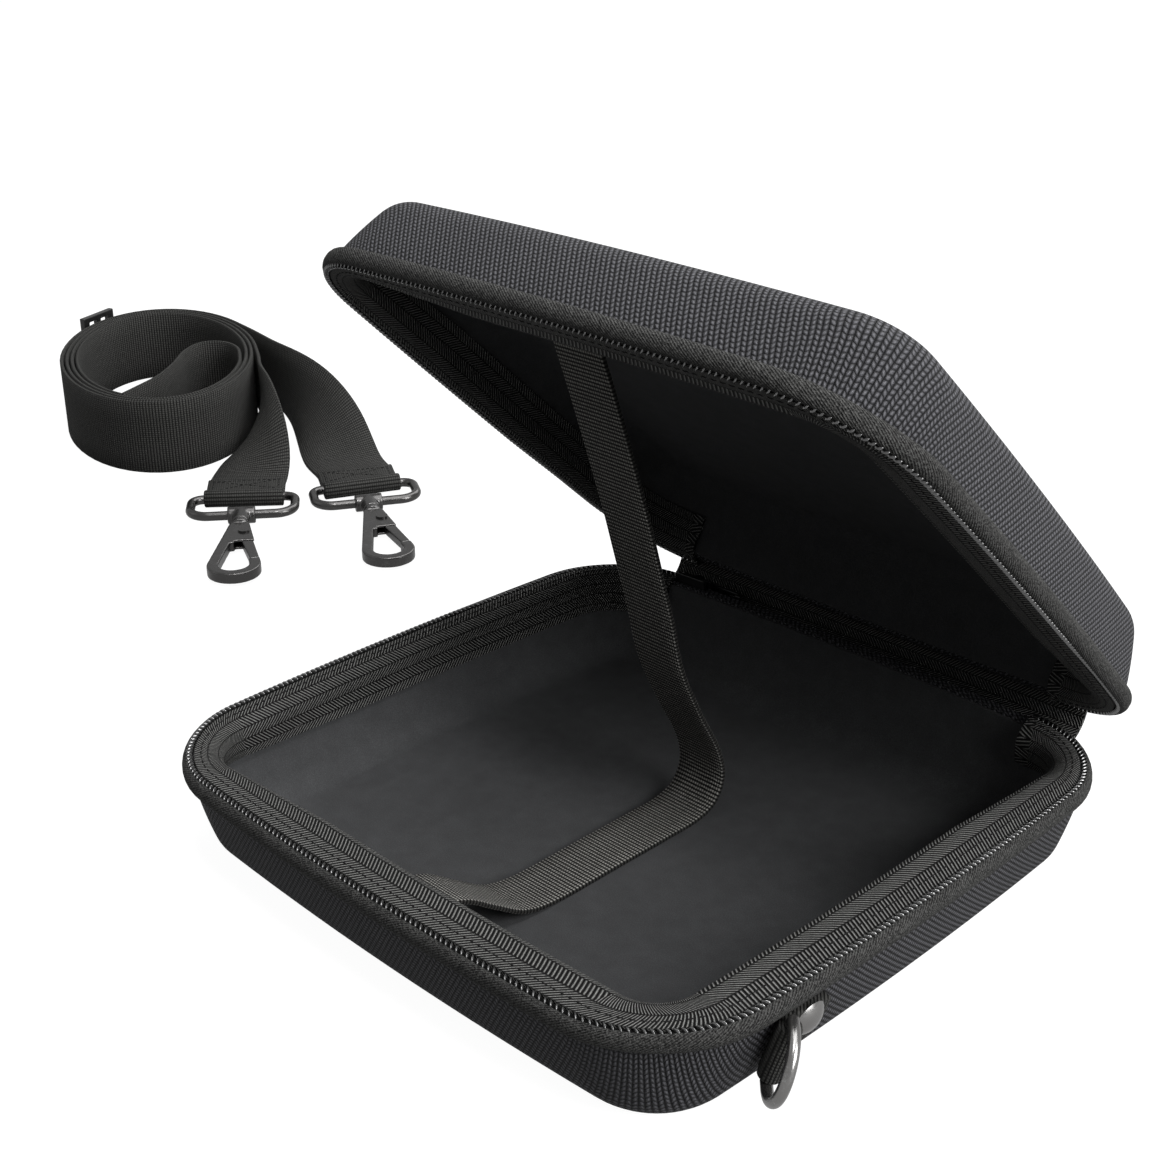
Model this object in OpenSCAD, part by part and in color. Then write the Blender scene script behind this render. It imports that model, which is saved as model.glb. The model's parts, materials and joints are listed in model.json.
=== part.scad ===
// Fabric covered hard case with a hinged lid, a zip round three sides, two ring tabs on its
// ends and a detachable shoulder strap lying rolled up beside it. Millimetres.
// Origin: middle of the base's underside. +X runs right along the hinge, +Y from the front
// to the hinge, +Z up.

/* [Case] */
// Width along the hinge, on the zip line
case_w = 240; // [210:1:270]
// Depth from the front to the hinge, on the zip line
case_d = 230; // [200:1:260]
// Depth of the base shell below the zip
base_h = 38; // [36:1:50]
// Depth of the lid shell above the zip
lid_h = 34; // [32:1:50]
// Radius of the front corners
front_r = 36; // [32:1:40]
// Radius of the rear corners
rear_r = 34; // [32:1:40]
// How far the ends bow outwards between their corners
bow_ends = 3.8; // [1:0.2:5]
// How far the front and back bow outwards between their corners
bow_front = 5.1; // [1:0.2:6]
// Angle that the lid is opened to
open_angle = 43; // [0:1:110]

/* [Shell] */
// Thickness of the moulded wall
wall_t = 4; // [3:0.5:5]
// Thickness of the lining
lining_t = 1.2; // [0.8:0.2:2]
// How far the wall leans in before the lower edge
draft = 7; // [4:0.5:9]
// Radius of the rounded edge between wall and flat face
edge_r = 15; // [12:1:18]

/* [Zip] */
// Spacing of the teeth along the chain
tooth_pitch = 2.5; // [2.4:0.1:4]
// Length of one tooth along the chain
tooth_l = 1.0; // [0.8:0.1:1.2]
// Width of one tooth across the chain
tooth_w = 2.2; // [2:0.1:2.2]
// How far a tooth reaches past the parting plane
tooth_cross = 0.5; // [0.2:0.1:0.6]

/* [Hinge] */
// How far the hinge strip ends short of the trim on each side
spine_short = 2; // [1:1:20]
// Thickness of the hinge strip
spine_t = 1.2; // [1:0.2:2]
// Width of the stay strap inside
stay_w = 20; // [15:1:30]
// Thickness of the stay strap
stay_t = 1.6; // [1:0.2:2]

/* [Ring tabs] */
// Height of the tab along the ring's bar
tab_h = 18.4; // [15:0.2:18.6]
// Radius of the ring's rod
ring_rod_r = 1.8; // [1.5:0.1:2]
// Angle that the ring stands out from the wall
ring_swing = 45; // [5:1:90]

/* [Shoulder strap] */
// Width of the webbing
web_w = 38; // [30:1:40]
// Thickness of the webbing
web_t = 1.9; // [1.5:0.1:2]
// Half width of the rolled strap
roll_a = 54; // [50:1:70]
// Half length of the rolled strap
roll_b = 86; // [80:1:100]
// Radius of the wire of the strap's rings
wire_r = 2.2; // [2:0.1:2.4]
// Length from the ring's bar to the tip of the hook
hook_l = 74; // [70:1:84]

/* [Hidden] */
$fn = 48;

hw = case_w / 2;
hd = case_d / 2;
rim_z = base_h;
corner_n = 8;
side_n = 4;
// How fast corner radii shrink with the inset
tighten = 1.3;
// Angle at which the wall meets the rounded edge
edge_start = 20;
// Inset of the wall's face from the zip line
face_inset = 0.2;
fit_gap = 0.1;
shell_top = 2.1;
lining_top = 3.0;
hinge_y = hd + 3;
hinge_z = rim_z - 13;

// Outline of the case

function bowed(p) = [
    p.x * (1 - bow_ends * pow(p.y / hd, 2) / hw),
    p.y * (1 - bow_front * pow(p.x / hw, 2) / hd)
];

function arc(cx, cy, r, a0) = [
    for (i = [0:corner_n])
        let (a = a0 + 90 * i / corner_n)
        [cx + r * cos(a), cy + r * sin(a)]
];

function side(p, q) = [for (i = [1:side_n - 1]) p + (q - p) * i / side_n];

// Closed outline at inset d, anticlockwise from the front right corner
function outline(d) =
    let (
        x = hw - d,
        y = hd - d,
        f = front_r - tighten * d,
        r = rear_r - tighten * d
    )
    [for (p = concat(
        arc(x - f, f - y, f, -90),
        side([x, f - y], [x, y - r]),
        arc(x - r, y - r, r, 0),
        side([x - r, y], [r - x, y]),
        arc(r - x, y - r, r, 90),
        side([-x, y - r], [-x, f - y]),
        arc(f - x, f - y, f, 180),
        side([f - x, -y], [x - f, -y])
    )) bowed(p)];

// Open path at inset d, from the back over the right, front and left to end_l on the back
function path(d, end_l) =
    let (
        x = hw - d,
        y = hd - d,
        f = front_r - tighten * d,
        r = rear_r - tighten * d,
        loop = concat(
            [[-end_l, y]],
            arc(r - x, y - r, r, 90),
            side([-x, y - r], [-x, f - y]),
            arc(f - x, f - y, f, 180),
            side([f - x, -y], [x - f, -y]),
            arc(x - f, f - y, f, -90),
            side([x, f - y], [x, y - r]),
            arc(x - r, y - r, r, 0),
            [[trim_x, y]]
        ),
        n = len(loop)
    )
    [for (i = [0:n - 1]) bowed(loop[n - 1 - i])];

// Inset of the wall's face at depth v below the zip line, for a half of depth h
function edge_v(h) = h - edge_r * (1 - sin(edge_start));
function wall_inset(v, h) =
    face_inset + draft * pow(v / edge_v(h), 1.46);

// Profile [inset, depth] of a half, moved in by t, from the rim down to the flat face
function profile(h, t, top) =
    let (e = edge_v(h), steps = [8, 14, 20])
    concat(
        [[wall_inset(top, h) + t, top]],
        [for (v = steps) if (v > top && v < e - 3) [wall_inset(v, h) + t, v]],
        [for (i = [0:4])
            let (a = edge_start + (90 - edge_start) * i / 4, r = edge_r - 0.8 * t)
            [
                wall_inset(e, h) + t + r * (cos(edge_start) - cos(a)),
                e + r * (sin(a) - sin(edge_start))
            ]
        ]
    );

// Solids through rings of points

// Solid through rings that run anticlockwise seen from the last one
module loft(rings) {
    n = len(rings[0]);
    m = len(rings);
    polyhedron(
        points = [for (r = rings) each r],
        faces = concat(
            [[for (i = [0:n - 1]) i]],
            [for (j = [0:m - 2], i = [0:n - 1]) [j * n + i, (j + 1) * n + i, (j + 1) * n + (i + 1) % n]],
            [for (j = [0:m - 2], i = [0:n - 1]) [j * n + i, (j + 1) * n + (i + 1) % n, j * n + (i + 1) % n]],
            [[for (i = [n - 1:-1:0]) (m - 1) * n + i]]
        ),
        convexity = 6
    );
}

// Tray of a half between two profiles, opening up at the rim
module tray(outer, inner) {
    no = len(outer);
    loft(concat(
        [for (i = [no - 1:-1:0]) [for (p = outline(outer[i][0])) [p.x, p.y, rim_z - outer[i][1]]]],
        [for (q = inner) [for (p = outline(q[0])) [p.x, p.y, rim_z - q[1]]]]
    ));
}

// Strip of a constant section [inset, depth] along the zip line
module trim(section) {
    lines = [for (q = section) path(q[0], trim_x)];
    loft([for (i = [0:len(lines[0]) - 1])
        [for (k = [0:len(section) - 1]) [lines[k][i].x, lines[k][i].y, rim_z - section[k][1]]]
    ]);
}

// Direction of the line at its point i
function heading(pts, i) =
    let (d = pts[min(i + 1, len(pts) - 1)] - pts[max(i - 1, 0)]) d / norm(d);

// Outline of a ribbon of thickness t along a flat line of points
function ribbon(pts, t) =
    let (n = len(pts), off = [for (i = [0:n - 1])
        let (h = heading(pts, i)) [-h.y, h.x] * t / 2])
    concat(
        [for (i = [0:n - 1]) pts[i] - off[i]],
        [for (i = [n - 1:-1:0]) pts[i] + off[i]]
    );

// Smooth line through hand placed points, k steps between two of them
function smooth(pts, k) =
    let (n = len(pts))
    concat(
        [for (i = [0:n - 2], j = [0:k - 1])
            let (
                t = j / k,
                a = pts[max(i - 1, 0)],
                b = pts[i],
                c = pts[i + 1],
                d = pts[min(i + 2, n - 1)]
            )
            0.5 * (2 * b + (c - a) * t + (2 * a - 5 * b + 4 * c - d) * t * t
                + (3 * b - 3 * c + d - a) * t * t * t)
        ],
        [pts[n - 1]]
    );

// Places a closed upper half, made like a base, on the base and opens it
module on_lid() {
    translate([0, hinge_y, hinge_z])
        rotate([-open_angle, 0, 0])
            translate([0, -hinge_y, -hinge_z])
                translate([0, 0, 2 * rim_z])
                    mirror([0, 0, 1])
                        children();
}

// Point [y, z] of the closed lid, seen after the lid has been opened
function opened(p) =
    let (y = p[0] - hinge_y, z = p[1] - hinge_z)
    [
        hinge_y + y * cos(open_angle) + z * sin(open_angle),
        hinge_z - y * sin(open_angle) + z * cos(open_angle)
    ];

// The two halves

module half_shell(h) {
    tray(profile(h, 0, shell_top), profile(h, wall_t, shell_top));
}

module half_lining(h) {
    tray(
        profile(h, wall_t + fit_gap, lining_top),
        profile(h, wall_t + fit_gap + lining_t, lining_top)
    );
}

// How far the trim runs past the rear corners onto the back
trim_run = 2;
trim_x = hw - rear_r - trim_run;
// How much nearer to the middle the base's chain ends on the left, for the slider
slide_run = 32;
slide_end = trim_x - slide_run;
band_section = [
    [-2.4, 3.3], [-2.0, 1.4], [-1.3, 0.5], [-0.6, 0.6], [-0.45, 2.0],
    [-0.05, 2.4], [-0.05, 5.9], [-1.3, 6.6], [-2.1, 5.3]
];
tape_line = [[2.3, 0.9], [4.6, 1.4], [7.6, 2.4], [10.2, 4.6], [11.2, 8.2]];
tape_t = 0.8;

module half_band() {
    trim(band_section);
}

module half_tape() {
    trim(ribbon(tape_line, tape_t));
}

// The chain: a cord that carries a row of teeth
cord_in = 1.7;
cord_out = -0.3;
cord_top = 0.8;

module chain_cord(end_l) {
    outer = path(cord_out, end_l);
    inner = path(cord_in, end_l);
    translate([0, 0, rim_z - shell_top + 0.05])
        linear_extrude(shell_top - 0.05 - cord_top)
            polygon(concat(outer, [for (i = [len(inner) - 1:-1:0]) inner[i]]));
}

tooth_path = path((cord_in + cord_out) / 2, trim_x);
tooth_steps = [for (i = [0:len(tooth_path) - 2]) norm(tooth_path[i + 1] - tooth_path[i])];
function total(v, i) = i < 0 ? 0 : v[i] + total(v, i - 1);
tooth_marks = [for (i = [-1:len(tooth_steps) - 1]) total(tooth_steps, i)];
chain_l = tooth_marks[len(tooth_marks) - 1];
// Rear of this line the halves part sideways, so teeth stop short of the parting plane
cross_limit_y = 45;

stop_l = 2.6;
stop_gap = 0.5;
// Length of the chain's ends that the stops take up
clear_l = stop_l + stop_gap + tooth_l / 2;

// Row of teeth, shifted along the chain by a share of the pitch
module teeth(shift) {
    for (j = [0:len(tooth_steps) - 1]) {
        first = ceil((tooth_marks[j] - shift * tooth_pitch) / tooth_pitch);
        last = ceil((tooth_marks[j + 1] - shift * tooth_pitch) / tooth_pitch) - 1;
        d = (tooth_path[j + 1] - tooth_path[j]) / tooth_steps[j];
        if (last >= first)
            for (i = [first:last]) {
                s = (i + shift) * tooth_pitch;
                p = tooth_path[j] + d * (s - tooth_marks[j]);
                reach = p.y < cross_limit_y ? tooth_cross : -0.1;
                if (s > clear_l && s < chain_l - clear_l)
                    translate([p.x, p.y, rim_z - cord_top - 0.2])
                        rotate([0, 0, atan2(d.y, d.x)])
                            translate([-tooth_l / 2, -tooth_w / 2, 0])
                                cube([tooth_l, tooth_w, cord_top + 0.2 + reach]);
            }
    }
}

stop_t = 0.7;

// Stop on the cord's last stretch, where it starts at p and runs on towards q
module zip_stop(p, q) {
    d = q - p;
    translate([p.x, p.y, rim_z - cord_top])
        rotate([0, 0, atan2(d.y, d.x)])
            translate([0.05, (cord_out - cord_in) / 2, 0])
                cube([stop_l, cord_in - cord_out, stop_t]);
}

// The chain's two ends and the slider's stretch, which all lie on the back
end_right = tooth_path[0];
end_left = tooth_path[len(tooth_path) - 1];
slide_path = path((cord_in + cord_out) / 2, slide_end);
slide_stop = slide_path[len(slide_path) - 1];
slide_start = slide_path[len(slide_path) - 2];

module base_shell() {
    color("dimgray")
        difference() {
            half_shell(base_h);
            rivet_bore(1);
            rivet_bore(-1);
        }
}

module base_lining() {
    color("black")
        difference() {
            half_lining(base_h);
            rivet_bore(1);
            rivet_bore(-1);
        }
}

module base_rim_band() {
    color("darkslategray") half_band();
}

module base_inner_tape() {
    color("gray") half_tape();
}

module base_zip_teeth() {
    color("black") {
        chain_cord(slide_end);
        teeth(0.25);
    }
}

module base_zip_stops() {
    color("black") {
        zip_stop(end_right, tooth_path[2]);
        zip_stop(slide_stop, slide_start);
    }
}

module lid_shell() {
    color("dimgray") on_lid() half_shell(lid_h);
}

module lid_lining() {
    color("black") on_lid() half_lining(lid_h);
}

module lid_rim_band() {
    color("darkslategray") on_lid() half_band();
}

module lid_inner_tape() {
    color("gray") on_lid() half_tape();
}

module lid_zip_teeth() {
    color("black") on_lid() {
        chain_cord(trim_x);
        teeth(0.75);
    }
}

module lid_zip_stops() {
    color("black") on_lid() {
        zip_stop(end_right, tooth_path[2]);
        zip_stop(end_left, tooth_path[len(tooth_path) - 3]);
    }
}

// Zip slider, parked at the left end of the chain

slider_l = 14;
slider_gap = 0.5;
slide_yaw = atan2(slide_stop.y - slide_start.y, slide_stop.x - slide_start.x);
slider_at = end_left + (slider_l / 2 + slider_gap) * [cos(slide_yaw), sin(slide_yaw)];
half_cord = (cord_in - cord_out) / 2;
plate_t = 1.4;
plate_gap = 0.2;
plate_h = 6.8;
inner_h = 3.8;
wedge_h = 0.9;
pull_l = 20;
pull_w = 4.5;
pull_t = 1.5;
pull_pin_r = 0.8;
boss_r = 1.5;
bail_t = 1;
bail_w = 2.8;
pull_gap = 0.15;
// Place of the pull's pin in the slider's own directions
pin_x = -1;
pin_y = half_cord + plate_gap + plate_t + boss_r + pull_gap;
pin_z = -3.9;
echo(slide_axis = [cos(slide_yaw), sin(slide_yaw)]);
echo(pull_pin = slider_at + pin_x * [cos(slide_yaw), sin(slide_yaw)] + pin_y * [-sin(slide_yaw), cos(slide_yaw)]);

module at_slider() {
    translate([slider_at.x, slider_at.y, rim_z])
        rotate([0, 0, slide_yaw])
            children();
}

module zip_slider() {
    bail_h = pull_w + 2 * pull_gap;
    color("#202020")
        at_slider() {
            // Outer and inner plates with the wedge between the two chains
            translate([-slider_l / 2, half_cord + plate_gap, 0.4 - plate_h])
                cube([slider_l, plate_t, plate_h]);
            translate([-slider_l / 2, -half_cord - plate_gap - plate_t, -inner_h / 2])
                cube([slider_l, plate_t, inner_h]);
            translate([-slider_l / 4, -half_cord - plate_gap - plate_t / 2, -cord_top + plate_gap])
                cube([slider_l / 2, 2 * (half_cord + plate_gap) + plate_t, wedge_h]);
            // Bail with the pin of the pull
            for (z = [pin_z - bail_h / 2 - bail_t, pin_z + bail_h / 2])
                translate([pin_x - bail_w / 2, half_cord + plate_gap + plate_t / 2, z])
                    cube([bail_w, pin_y - half_cord - plate_gap - plate_t / 2 + bail_w / 2, bail_t]);
            translate([pin_x, pin_y, pin_z - bail_h / 2 - bail_t / 2])
                cylinder(h = bail_h + bail_t, r = pull_pin_r);
        }
}

module zip_pull() {
    color("#303030")
        at_slider()
            translate([pin_x, pin_y, pin_z - pull_w / 2])
                difference() {
                    union() {
                        translate([0, -pull_t / 2, 0]) cube([pull_l, pull_t, pull_w]);
                        cylinder(h = pull_w, r = boss_r);
                    }
                    translate([0, 0, -1])
                        cylinder(h = pull_w + 2, r = pull_pin_r + 0.08);
                    translate([pull_l * 3 / 4, -pull_t, pull_w / 4])
                        cube([pull_l / 6, 2 * pull_t, pull_w / 2]);
                }
}

// Hinge strip along the back, sewn to both halves and hanging free between them
sewn_from = 8;
sewn_to = 22;
// How far the slack strip hangs out behind the base and behind the lid
slack_base = [10.5, -5];
slack_lid = [1.9, -10.4];

spine_w = 2 * (trim_x - spine_short);

function strip_line(x) =
    let (
        yb = bowed([x, hd]).y,
        off = spine_t / 2 + fit_gap,
        a = [yb - wall_inset(sewn_to, base_h) + off, rim_z - sewn_to],
        b = [yb - wall_inset(sewn_from, base_h) + off, rim_z - sewn_from],
        c = opened([yb - wall_inset(sewn_from, lid_h) + off, rim_z + sewn_from]),
        d = opened([yb - wall_inset(sewn_to, lid_h) + off, rim_z + sewn_to]),
        e = opened([yb - wall_inset(15, lid_h) + off + 0.15, rim_z + 15]),
        g = [yb - wall_inset(15, base_h) + off + 0.15, rim_z - 15],
        p = b + slack_base,
        q = c + slack_lid
    )
    concat([a, g], [for (i = [0:6])
        let (t = i / 6, s = 1 - t)
        s * s * s * b + 3 * s * s * t * p + 3 * s * t * t * q + t * t * t * c
    ], [e, d]);

module hinge_spine() {
    color("darkslategray")
        loft([for (i = [0:8])
            let (x = -spine_w / 2 + spine_w * i / 8)
            [for (q = ribbon(strip_line(x), spine_t)) [x, q[0], q[1]]]
        ]);
}

// Inset of the stay strap's middle where it is sewn flat to the lining, v below the zip line
sewn_gap = 0.55;
function sewn_inset(v, h) = wall_inset(v, h) + wall_t + fit_gap + lining_t + stay_t / 2 + sewn_gap;
stay_sewn = [4, 7, 10];
// Stay strap in the middle plane, points [y, z] from the lid's front to the base's front
stay_points = concat(
    [for (v = stay_sewn) opened([sewn_inset(v, lid_h) - hd, rim_z + v])],
    [opened([11.6 - hd, rim_z + 12.4]), opened([16 - hd, rim_z + 10.5])],
    [
        [-24, 182], [-19, 168], [-12, 148], [-4, 124], [2, 104], [8, 84], [13, 65], [22, 46],
        [32, 28], [35, 16], [31, 7.5], [22, 4.2], [8, 3.85], [-18, 3.85], [-44, 3.85], [-58, 6.5],
        [-70, 14], [-82, 22], [-95, 25.7], [12 - hd, rim_z - 12.6]
    ],
    [for (i = [len(stay_sewn) - 1:-1:0]) [sewn_inset(stay_sewn[i], base_h) - hd, rim_z - stay_sewn[i]]]
);

module stay_strap() {
    color("#202020")
        rotate([90, 0, 90])
            linear_extrude(stay_w, center = true)
                polygon(ribbon(smooth(stay_points, 4), stay_t));
}

// Ring tabs on the two ends

tab_y = -56;
tab_depth = 10;
// Depth at which the tab's plane touches the curved wall
touch_v = 14;
wall_slope = atan(1.46 * draft / edge_v(base_h) * pow(touch_v / edge_v(base_h), 0.46));
tab_inset = wall_inset(touch_v, base_h) - (touch_v - tab_depth) * tan(wall_slope) - 0.15;
tab_yaw = 2;
tab_lean = 8;
web2_t = 3.2;
bar = [4.3, -10.6];
sewn_end_y = 8;
shoulder_y = -6;
loop_r = 3.5;
loop_top = 1;
tab_top = 2.2;
bar_mid = loop_top - tab_h / 2;
bar_half = tab_h / 2 + ring_rod_r + 0.3;
rivet_up = -2;
rivet_r = 2;
bore_gap = 0.05;

module at_tab(hand) {
    mirror([hand < 0 ? 1 : 0, 0, 0])
        translate([bowed([hw - tab_inset, tab_y]).x, tab_y, rim_z - tab_depth])
            rotate([0, 0, -tab_yaw])
                rotate([0, wall_slope, 0])
                    rotate([-tab_lean, 0, 0])
                        children();
}

module rivet_bore(hand) {
    at_tab(hand)
        translate([-9, 0, rivet_up])
            rotate([0, 90, 0])
                cylinder(h = 10, r = rivet_r + bore_gap);
}

// Folded webbing: flat behind, looped round the bar in front, its lower edge cut on a slant
module ring_tab(hand) {
    foot = loop_top - tab_h;
    loop_end = bar.y - 2 * loop_r;
    color("darkslategray")
        at_tab(hand)
            difference() {
                intersection() {
                    translate([0, 0, foot])
                        linear_extrude(tab_top - foot)
                            difference() {
                                union() {
                                    translate([0, bar.y])
                                        square([web2_t, sewn_end_y - bar.y]);
                                    translate(bar) circle(loop_r);
                                }
                                translate(bar) circle(ring_rod_r + 0.08);
                            }
                    rotate([90, 0, 90])
                        linear_extrude(20, center = true)
                            polygon([
                                [loop_end, loop_top], [shoulder_y - 2.3, loop_top], [shoulder_y, tab_top],
                                [sewn_end_y, tab_top], [sewn_end_y, -7.5], [sewn_end_y - 4, -10],
                                [shoulder_y - 2, foot], [loop_end, foot]
                            ]);
                }
                translate([-1, 0, rivet_up])
                    rotate([0, 90, 0])
                        cylinder(h = 6, r = rivet_r + bore_gap);
            }
}

lining_n = -(wall_t + fit_gap + lining_t) * cos(wall_slope) - 0.7;
washer_t = 0.8;

module tab_rivet(hand) {
    color("silver")
        at_tab(hand)
            translate([0, 0, rivet_up]) {
                translate([web2_t, 0, 0])
                    rotate([0, 90, 0])
                        rotate_extrude()
                            intersection() {
                                translate([0, -5.5]) circle(8.14);
                                square([6, 4]);
                            }
                translate([lining_n - washer_t, 0, 0])
                    rotate([0, 90, 0])
                        cylinder(h = web2_t - lining_n + washer_t, r = rivet_r);
                translate([lining_n - washer_t - 1, 0, 0])
                    rotate([0, 90, 0])
                        cylinder(h = 1, r = 3.4);
            }
}

module rivet_washer(hand) {
    color("silver")
        at_tab(hand)
            translate([lining_n - washer_t, 0, rivet_up])
                rotate([0, 90, 0])
                    difference() {
                        cylinder(h = washer_t, r = 5.5);
                        translate([0, 0, -1]) cylinder(h = 3, r = rivet_r + bore_gap);
                    }
}

module rod(p, q, r) {
    d = q - p;
    translate(p)
        rotate([0, acos(d.z / norm(d)), atan2(d.y, d.x)])
            cylinder(h = norm(d), r = r);
}

ring_leg = 3;

// Straight bar, two short legs and a half circle
module d_ring(hand) {
    color("silver")
        at_tab(hand)
            translate([bar.x, bar.y, bar_mid])
                rotate([0, 0, ring_swing]) {
                    rod([0, 0, -bar_half], [0, 0, bar_half], ring_rod_r);
                    for (s = [-1, 1]) {
                        translate([0, 0, s * bar_half]) sphere(ring_rod_r);
                        rod([0, 0, s * bar_half], [0, -ring_leg, s * bar_half], ring_rod_r);
                    }
                    translate([0, -ring_leg, 0])
                        rotate([0, 90, 0])
                            rotate([0, 0, 180])
                                rotate_extrude(angle = 180)
                                    translate([bar_half, 0]) circle(ring_rod_r);
                }
}

// Shoulder strap, lying on the surface that the case stands on

// Directions to the right and away across the strap's place, turned from the case's own
strap_turn = 45.5;
roll_at = [-243, 430];
roll_tilt = 13.7;
layer = web_t + 0.8;
start_a = 35;
end_a = 705;
start_b = 0;
end_b = 600;
roll_step = 9;
// The loose inner fold between the two strands
inner_fold = [[-202, 438], [-211, 449], [-223, 449], [-230, 435], [-232, 412], [-236, 391], [-243, 374]];

function tilted(p) = [
    roll_at.x + p.x * cos(roll_tilt) - p.y * sin(roll_tilt),
    roll_at.y + p.x * sin(roll_tilt) + p.y * cos(roll_tilt)
];

// Point of the roll at angle f, drawn in by k layers at its start
function turn(f, k) =
    let (in = layer * (k + 2 * f / 360))
    tilted([(roll_a - in) * cos(f), (roll_b - in) * sin(f)]);

strand_a = [for (f = [start_a:roll_step:end_a]) turn(f, 0)];
strand_b = [for (f = [end_b:-roll_step:start_b]) turn(f, 1)];
fold_line = smooth(concat(
    [strand_a[len(strand_a) - 1]], inner_fold, [strand_b[0]]), 5);
roll_line = concat(
    strand_a,
    [for (i = [1:len(fold_line) - 2]) fold_line[i]],
    strand_b
);

// Least gap between stretches of the roll that aren't next to each other along it
near = 8;
gap_lists = [for (i = [0:len(roll_line) - 1])
    [for (j = [i + near:1:len(roll_line) - 2])
        let (
            a = roll_line[j],
            d = roll_line[j + 1] - a,
            t = max(0, min(1, (roll_line[i] - a) * d / (d * d)))
        )
        norm(roll_line[i] - a - t * d)]];
roll_gap = min([for (g = gap_lists) if (len(g) > 0) min(g)]) - web_t;
echo(least_gap_of_the_roll_mm = roll_gap);

module at_strap() {
    rotate([0, 0, strap_turn]) children();
}

module strap_roll() {
    color("#404040")
        at_strap()
            linear_extrude(web_w)
                polygon(ribbon(roll_line, web_t));
}

// Ring places [x, y] and the direction in which each hook points
ring_1_at = [-334, 78];
ring_1_dir = -38.3;
ring_2_at = [-304, 129];
ring_2_dir = -30.4;
wire_gap = 0.08;
eye_r = wire_r + wire_gap + web_t;
bar_z = eye_r + 0.05;
ring_w = 54;
ring_l = 26;
ring_half_x = ring_l / 2 - wire_r;
ring_half_y = ring_w / 2 - wire_r;
// Corners of the ring: tight outside the webbing, round on the hook's side
ring_side_gap = 0.3;
back_bend = ring_half_y - web_w / 2 - ring_side_gap;
front_bend = 9;
fold_l = 26;

function turned(p, a) = [p.x * cos(a) - p.y * sin(a), p.x * sin(a) + p.y * cos(a)];
// Where a tail ends behind its ring, in the strap's own directions
function tail_end(at, dir, back) =
    turned([at.x, at.y] - turned([ring_half_x + back, 0], dir), -strap_turn);

// Each tail starts a little past its end of the roll
seam_gap = 0.2;
function past(p, q) = p + (p - q) / norm(p - q) * seam_gap;
tail_1_start = past(strand_b[len(strand_b) - 1], strand_b[len(strand_b) - 2]);
tail_2_start = past(strand_a[0], strand_a[1]);
tail_1_mid = [[-188, 421], [-184, 396], [-183, 370], [-182, 348]];
tail_2_mid = [[-197, 468], [-180, 443], [-163, 415], [-149, 388], [-139, 362]];

// Shares of a tail's length between which it turns from its edge to flat
twist_from = 0.25;
twist_to = 0.95;

// Strip that leaves the roll on its edge and lies down flat by its end
module tail(start, mid, finish, last) {
    line = smooth(concat([start], mid, [finish, last]), 4);
    n = len(line) - 5;
    loft([for (i = [0:n])
        let (
            t = max(0, min(1, (i / n - twist_from) / (twist_to - twist_from))),
            lay = 90 * (1 - t * t * (3 - 2 * t)),
            h = heading(line, i),
            level = [-h.y, h.x, 0],
            across = level * cos(lay) + [0, 0, sin(lay)],
            thick = level * -sin(lay) + [0, 0, cos(lay)],
            mid_z = web_w / 2 * sin(lay) + web_t / 2 * cos(lay),
            c = [line[i].x, line[i].y, mid_z]
        )
        [
            c - across * web_w / 2 - thick * web_t / 2,
            c + across * web_w / 2 - thick * web_t / 2,
            c + across * web_w / 2 + thick * web_t / 2,
            c - across * web_w / 2 + thick * web_t / 2
        ]
    ]);
}

// Doubled and sewn end with its eye round the ring's bar, in the ring's own directions
module sewn_end() {
    translate([-ring_half_x, 0, bar_z])
        rotate([90, 0, 0])
            linear_extrude(web_w, center = true)
                difference() {
                    union() {
                        circle(eye_r);
                        translate([-fold_l, -bar_z]) square([fold_l, 2 * web_t]);
                    }
                    circle(wire_r + wire_gap);
                }
}

module at_ring(at, dir) {
    translate([at.x, at.y, 0]) rotate([0, 0, dir]) children();
}

module strap_tail(start, mid, at, dir) {
    color("#404040") {
        at_strap() tail(start, mid, tail_end(at, dir, fold_l), tail_end(at, dir, 0));
        at_ring(at, dir) sewn_end();
    }
}

// Straight bar with its two corners, behind or in front of the ring's middle
module ring_end(way, bend) {
    rod([way * ring_half_x, bend - ring_half_y, 0], [way * ring_half_x, ring_half_y - bend, 0], wire_r);
    for (s = [-1, 1])
        translate([way * (ring_half_x - bend), s * (ring_half_y - bend), 0])
            mirror([way < 0 ? 1 : 0, 0, 0])
                mirror([0, s < 0 ? 1 : 0, 0])
                    rotate_extrude(angle = 90)
                        translate([bend, 0]) circle(wire_r);
}

module strap_ring(at, dir) {
    color("#383838")
        at_ring(at, dir)
            translate([0, 0, bar_z]) {
                for (s = [-1, 1])
                    rod([back_bend - ring_half_x, s * ring_half_y, 0],
                        [ring_half_x - front_bend, s * ring_half_y, 0], wire_r);
                ring_end(-1, back_bend);
                ring_end(1, front_bend);
            }
}

// Hooks, drawn along +X from the ring's front bar

swivel_l = 13;
cap_r = bar_z - 0.1;
boss_end = 11;
swivel_pin_r = 2;
neck_x = 14.5;
neck_w = 4.5;
plate_half_t = 2.5;
hook_r = 12;
hook_in_r = 7;
tip_x = hook_l - hook_r;
// Lean of the plate's straight sides, which run on into the round end
side_lean = asin(hook_r / norm([tip_x - neck_x, neck_w])) - atan(neck_w / (tip_x - neck_x));
function plate_y(x) = neck_w + (x - neck_x) * tan(side_lean);
hole_x = 38;
hole_w = 3.2;
gate_at = [25.2, 2.6];
gate_pin_r = 1.5;
gate_eye = 3;
gate_bar = 4.3;
gate_from = 36.5;
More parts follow.
